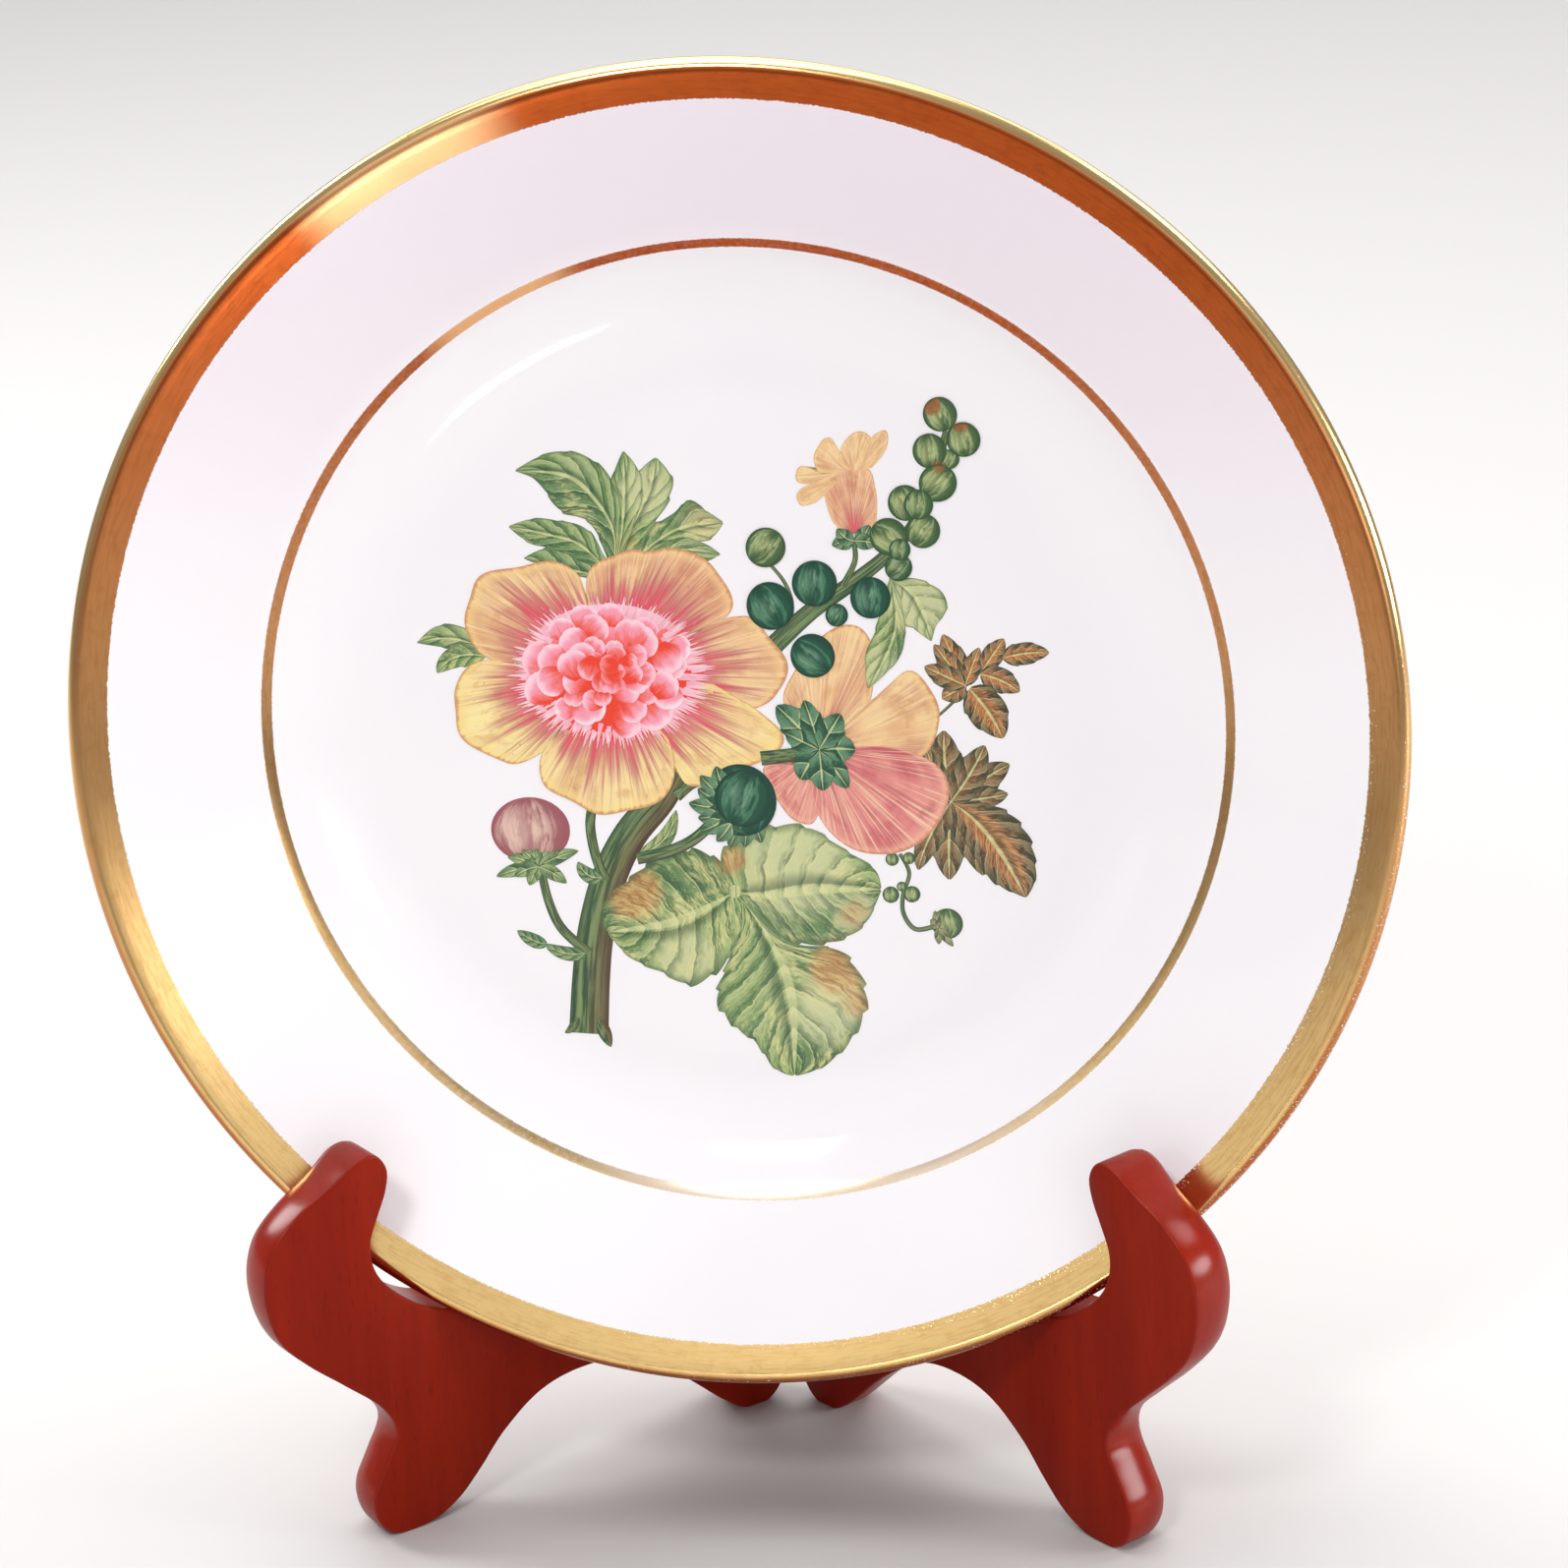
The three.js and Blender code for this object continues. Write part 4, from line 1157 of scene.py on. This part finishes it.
def mahogany():
    shader = Shader("mahogany_lacquer", Specular_IOR_Level=0.0, Coat_IOR=1.4)
    place = shader.object_place()
    broad = shader.noise(place, 1, 3, 0.55, stretch=(70, 70, 9))
    grain = shader.noise(place, 1, 4, 0.65, stretch=(700, 700, 60))
    pores = shader.noise(place, 1, 2, 0.5, stretch=(2200, 2200, 240))
    colour = mix(smooth(broad, 0.3, 0.72), srgb(128, 23, 5), srgb(144, 31, 7))
    colour = mix(smooth(grain, 0.42, 0.68) * 0.35, colour, srgb(122, 22, 7))
    colour = mix(smooth(pores, 0.62, 0.72) * 0.4, colour, srgb(84, 12, 5))
    shader.drive("Base Color", colour)
    shader.drive("Roughness", grain * 0.14 + 0.3)
    handled = shader.attribute("handled")
    shader.drive("Coat Weight", handled * 0.33 + 0.32)
    shader.drive("Coat Roughness", handled * -0.09 + 0.32)
    shader.bump(grain + pores * 0.6, 0.14, 0.25 * MM)
    return shader.material


def make_boards():
    wood = mahogany()
    for side in ("left", "right"):
        board = new_object(side + "_wooden_board", board_mesh(side))
        board.data.materials.append(wood)
        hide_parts(side + "_board")
        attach(board, side + "_wing")


# ---- Hinges ----
BARREL_RADIUS = 1.7
LEAF_BACK = 0.7
LEAF_WIDTH = 9.6
KNUCKLE_GAP = 0.3
PIN_BORE = 1.12
PIN_RADIUS = 0.95
PIN_LENGTH = 25.0
LEAF_CORNER = 1.2
SOFT_EDGE = 0.12
SCREW_SPACING = 14.0
SCREW_FROM_FACE = 5.6
SCREW_HEAD = 1.95
SCREW_SHANK = 1.0
SCREW_LENGTH = 9.0
SCREW_CLEARANCE = 0.15
THREAD_DEPTH = 0.22
THREAD_TURNS = 14


def turned(profile, segments, axis):
    """A closed turned solid. profile is (radius, distance), and axis is "u" or "v". Gives (points, faces)."""
    points, faces = [], []
    for radius, along in profile:
        for i in range(segments):
            turn = 2 * math.pi * i / segments
            a, b = radius * math.cos(turn), radius * math.sin(turn)
            points.append({"u": (along, b, a), "v": (a, b, along)}[axis])
    for ring in range(len(profile) - 1):
        for i in range(segments):
            j = (i + 1) % segments
            faces.append((ring * segments + i, ring * segments + j, (ring + 1) * segments + j,
                          (ring + 1) * segments + i))
    faces.append(tuple(reversed(range(segments))))
    faces.append(tuple(range(len(points) - segments, len(points))))
    return points, faces


def slab(u, w, v, corner=0.0):
    """A slab between pairs of u, w and v, with rounded corners on its far w edge. Gives (points, faces)."""
    (u0, u1), (w0, w1), (v0, v1) = u, w, v
    ring = [(w0, v0)]
    for centre_v, start in ((v0 + corner, -90), (v1 - corner, 0)):
        for step in range(7 if corner else 1):
            turn = math.radians(start + 90 * step / 6)
            ring.append((w1 - corner + corner * math.cos(turn), centre_v + corner * math.sin(turn)))
    ring.append((w0, v1))
    points = [(u0, a, b) for a, b in ring] + [(u1, a, b) for a, b in ring]
    count = len(ring)
    faces = [(i, (i + 1) % count, count + (i + 1) % count, count + i) for i in range(count)]
    faces += [tuple(reversed(range(count))), tuple(range(count, 2 * count))]
    return points, faces


def solid(side, height, shape):
    """A temporary object from a (points, faces) shape in a hinge's u, w, v frame."""
    points, faces = shape
    placed = [board_point(side, u, v + height, w) for u, w, v in points]
    mesh = mesh_from("shape", placed, faces, rounded=False)
    tidy_normals(mesh)
    return new_object("shape", mesh)


def combine(base, other, operation):
    modifier = base.modifiers.new("combine", "BOOLEAN")
    modifier.operation = operation
    modifier.solver = "EXACT"
    modifier.object = other
    with bpy.context.temp_override(object=base, active_object=base, selected_objects=[base]):
        bpy.ops.object.modifier_apply(modifier=modifier.name)
    bpy.data.objects.remove(other)


def brass():
    shader = Shader("aged_brass", Metallic=1.0)
    place = shader.object_place()
    tarnish = shader.noise(place, 260, 4, 0.6)
    brushed = shader.noise(place, 1, 2, 0.6, stretch=(900, 900, 5200))
    colour = mix(smooth(tarnish, 0.38, 0.68), srgb(212, 172, 96), srgb(150, 108, 52))
    # Painted shade, and grime: the screw slots and the countersinks are painted dark brown.
    colour = mix(shader.attribute("grime") * 0.85, colour, srgb(58, 36, 18))
    shader.drive("Base Color", colour)
    shader.drive("Roughness", tarnish * 0.22 + 0.18 + brushed * 0.1)
    shader.bump(brushed + tarnish * 0.5, 0.12, 0.06 * MM)
    return shader.material


def board_places(piece, side):
    """How far out from the hinge, and how deep into the board's thickness, each of the piece's points is."""
    origin = board_point(side, 0, 0, 0)
    outward = (board_point(side, 1, 0, 0) - origin) / MM ** 2
    through = (board_point(side, 0, 0, 1) - origin) / MM ** 2
    offsets = [vertex.co - origin for vertex in piece.data.vertices]
    return [(offset.dot(outward), offset.dot(through)) for offset in offsets]


def finish_metal(piece, name, node, body, material):
    piece.name = name
    piece.data.name = name
    piece.data.materials.clear()
    piece.data.materials.append(material)
    piece.data.polygons.foreach_set("use_smooth", [True] * len(piece.data.polygons))
    piece.data.set_sharp_from_angle(angle=math.radians(32))
    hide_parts(node)
    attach(piece, body)


def hinge_leaf(side, height, length):
    half = length / 2
    third = length / 3
    flat = slab((LEAF_BACK, BARREL_RADIUS), (BARREL_RADIUS + 0.5, LEAF_WIDTH), (-half, half), LEAF_CORNER)
    leaf_piece = solid(side, height, flat)
    if side == "right":
        spans = [(-third / 2 + KNUCKLE_GAP / 2, third / 2 - KNUCKLE_GAP / 2)]
    else:
        spans = [(-half, -third / 2 - KNUCKLE_GAP / 2), (third / 2 + KNUCKLE_GAP / 2, half)]
    eased = BARREL_RADIUS - SOFT_EDGE
    for low, high in spans:
        soft_low, soft_high = low + SOFT_EDGE, high - SOFT_EDGE
        barrel = [(eased, low), (BARREL_RADIUS, soft_low), (BARREL_RADIUS, soft_high), (eased, high)]
        combine(leaf_piece, solid(side, height, turned(barrel, 48, "v")), "UNION")
        web = slab((LEAF_BACK, BARREL_RADIUS - 0.001), (0, BARREL_RADIUS + 1), (soft_low, soft_high))
        combine(leaf_piece, solid(side, height, web), "UNION")
    bore = turned([(PIN_BORE, -half - 1), (PIN_BORE, half + 1)], 40, "v")
    combine(leaf_piece, solid(side, height, bore), "DIFFERENCE")
    head, shank = SCREW_HEAD + SCREW_CLEARANCE, SCREW_SHANK + SCREW_CLEARANCE
    head_depth = LEAF_BACK + 0.1
    sink = [(head, 0), (head, head_depth), (shank, head_depth + head - shank), (shank, 3)]
    points, faces = turned(sink, 40, "u")
    for end in (-1, 1):
        cutter = [(u, w + SCREW_FROM_FACE, v + end * SCREW_SPACING / 2) for u, w, v in points]
        combine(leaf_piece, solid(side, height, (cutter, faces)), "DIFFERENCE")
    # The countersinks' points are marked for the painted shade and grime.
    grime = []
    for u, w in board_places(leaf_piece, side):
        in_sink = LEAF_BACK + 0.05 < u < BARREL_RADIUS - 0.05 and w > BARREL_RADIUS + 1
        grime.append(1.0 if in_sink else 0.0)
    set_values(leaf_piece.data, "grime", grime)
    return leaf_piece


def hinge_screw(side, height):
    top = LEAF_BACK + 0.05
    tip = top + SCREW_LENGTH
    taper = SCREW_HEAD - SCREW_SHANK
    root = SCREW_SHANK - THREAD_DEPTH
    profile = [(SCREW_HEAD - 0.08, top), (SCREW_HEAD, top + 0.06)]
    profile += [(SCREW_HEAD, top + 0.12), (SCREW_SHANK, top + 0.12 + taper)]
    threaded = SCREW_LENGTH - 3.4
    pitch = threaded / THREAD_TURNS
    for step in range(THREAD_TURNS):
        start = top + 1.6 + threaded * step / THREAD_TURNS
        profile += [(root, start + pitch * 0.1), (SCREW_SHANK, start + pitch * 0.55)]
    profile += [(root, tip - 1.7), (0.05, tip)]
    points, faces = turned(profile, 32, "u")
    screw = solid(side, height, ([(u, w + SCREW_FROM_FACE, v) for u, w, v in points], faces))
    groove = slab((top - 0.5, top + 0.5), (SCREW_FROM_FACE - 3, SCREW_FROM_FACE + 3), (-0.3, 0.3))
    combine(screw, solid(side, height, groove), "DIFFERENCE")
    # The slot and all below the head's top are marked for the painted shade and grime.
    set_values(screw.data, "grime", [1.0 if u > top + 0.08 else 0.0 for u, _ in board_places(screw, side)])
    return screw


def hinge_pin(height):
    """A straight pin whose domed heads stand just clear of the knuckles."""
    half = PIN_LENGTH / 2
    head = BARREL_RADIUS * 0.8
    turns = (0.05, 0.4, 0.8, 1.2, math.pi / 2)
    end = [(head * math.sin(turn), 0.3 + 0.6 * math.cos(turn)) for turn in turns]
    profile = [(radius, -half - past) for radius, past in end]
    profile += [(PIN_RADIUS, -half - 0.28), (PIN_RADIUS, half + 0.28)]
    profile += [(radius, half + past) for radius, past in reversed(end)]
    return solid("right", height, turned(profile, 40, "v"))


def make_hinges():
    metal = brass()
    for place in ("lower", "upper"):
        node = place + "_hinge_pin"
        low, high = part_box(node)
        height = (low[2] + high[2]) / 2 / MM
        finish_metal(hinge_pin(height), place + "_brass_pin", node, "left_wing", metal)
        for side in ("left", "right"):
            node = f"{place}_hinge_{side}_leaf"
            low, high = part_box(node)
            length = (high[2] - low[2]) / MM
            finish_metal(hinge_leaf(side, height, length), f"{place}_{side}_brass_leaf", node, side + "_wing",
                         metal)
            for end, sign in (("bottom", -1), ("top", 1)):
                node = f"{place}_hinge_{side}_{end}_screw"
                screw = hinge_screw(side, height + sign * SCREW_SPACING / 2)
                finish_metal(screw, f"{place}_{side}_{end}_brass_screw", node, side + "_wing", metal)


# ---- Floor, light and camera ----
def make_floor():
    size = 6.0
    corners = [(-size, -size, 0), (size, -size, 0), (size, size, 0), (-size, size, 0)]
    floor = new_object("floor", mesh_from("floor", corners, [(0, 1, 2, 3)]))
    shader = Shader("floor", Roughness=0.55)
    shader.drive("Base Color", srgb(200, 198, 196))
    floor.data.materials.append(shader.material)


def area_light(name, target, away, size, power, shape="RECTANGLE"):
    """A light that stands away from a target, in metres, and faces it."""
    lamp = bpy.data.lights.new(name, "AREA")
    lamp.shape = shape
    lamp.size, lamp.size_y = size
    lamp.energy = power
    made = new_object(name, lamp)
    made.location = target + Vector(away)
    made.rotation_euler = (-Vector(away)).to_track_quat("-Z", "Y").to_euler()


def make_lights():
    world = bpy.data.worlds.new("studio")
    world.use_nodes = True
    world.node_tree.nodes["Background"].inputs[0].default_value = (0.96, 0.95, 1.0, 1)
    world.node_tree.nodes["Background"].inputs[1].default_value = 0.33
    bpy.context.scene.world = world
    area_light("key", PLATE_CENTRE, (-0.25, -0.95, 0.9), (0.26, 0.2), 5.3)
    area_light("top", PLATE_CENTRE, (-0.2, 0.1, 1.4), (1.2, 1.0), 12)
    area_light("front_wall", PLATE_CENTRE, (0.0, -1.5, 0.46), (2.6, 0.9), 3.5)
    area_light("right_card", PLATE_CENTRE, (0.42, -0.9, 0.12), (0.34, 0.14), 0.24)
    area_light("left_window", SPINE, (-0.9, 0.37, 0.72), (0.34, 0.56), 7.5, "ELLIPSE")
    area_light("right_window", SPINE, (1.1, -0.1, 0.34), (0.5, 0.34), 7, "ELLIPSE")
    area_light("right_skylight", SPINE, (0.75, 0.3, 0.95), (0.5, 0.4), 3.2, "ELLIPSE")
    area_light("low_card", PLATE_CENTRE, (-0.01, -0.375, -0.128), (0.05, 0.03), 0.036)
    area_light("rim_light", PLATE_CENTRE, (-0.1, 0.9, 1.0), (1.6, 0.7), 5)
    area_light("backdrop", SPINE + Vector((0, 1.2, 0)), (0, 0.1, 0.9), (2.2, 0.9), 7)
    bpy.context.scene.view_settings.view_transform = "Standard"


def make_camera():
    azimuth, elevation, roll = math.radians(8.53), math.radians(20.69), math.radians(-2.98)
    back = Vector((
        math.sin(azimuth) * math.cos(elevation),
        -math.cos(azimuth) * math.cos(elevation),
        math.sin(elevation),
    ))
    level = Vector((0, 0, 1)).cross(back).normalized()
    upright = back.cross(level)
    right = level * math.cos(roll) + upright * math.sin(roll)
    up = upright * math.cos(roll) - level * math.sin(roll)
    target = SPINE + Vector((0.00387, 0, 0.12355))
    lens = bpy.data.cameras.new("camera")
    lens.sensor_width = 36
    lens.lens = 126.16
    camera = new_object("camera", lens)
    distance = 1.0
    place = target + back * distance
    camera.matrix_world = Matrix((
        (right.x, up.x, back.x, place.x),
        (right.y, up.y, back.y, place.y),
        (right.z, up.z, back.z, place.z),
        (0, 0, 0, 1),
    ))
    bpy.context.scene.camera = camera


make_camera()
make_floor()
make_lights()
make_plate()
make_painting()
make_boards()
make_hinges()
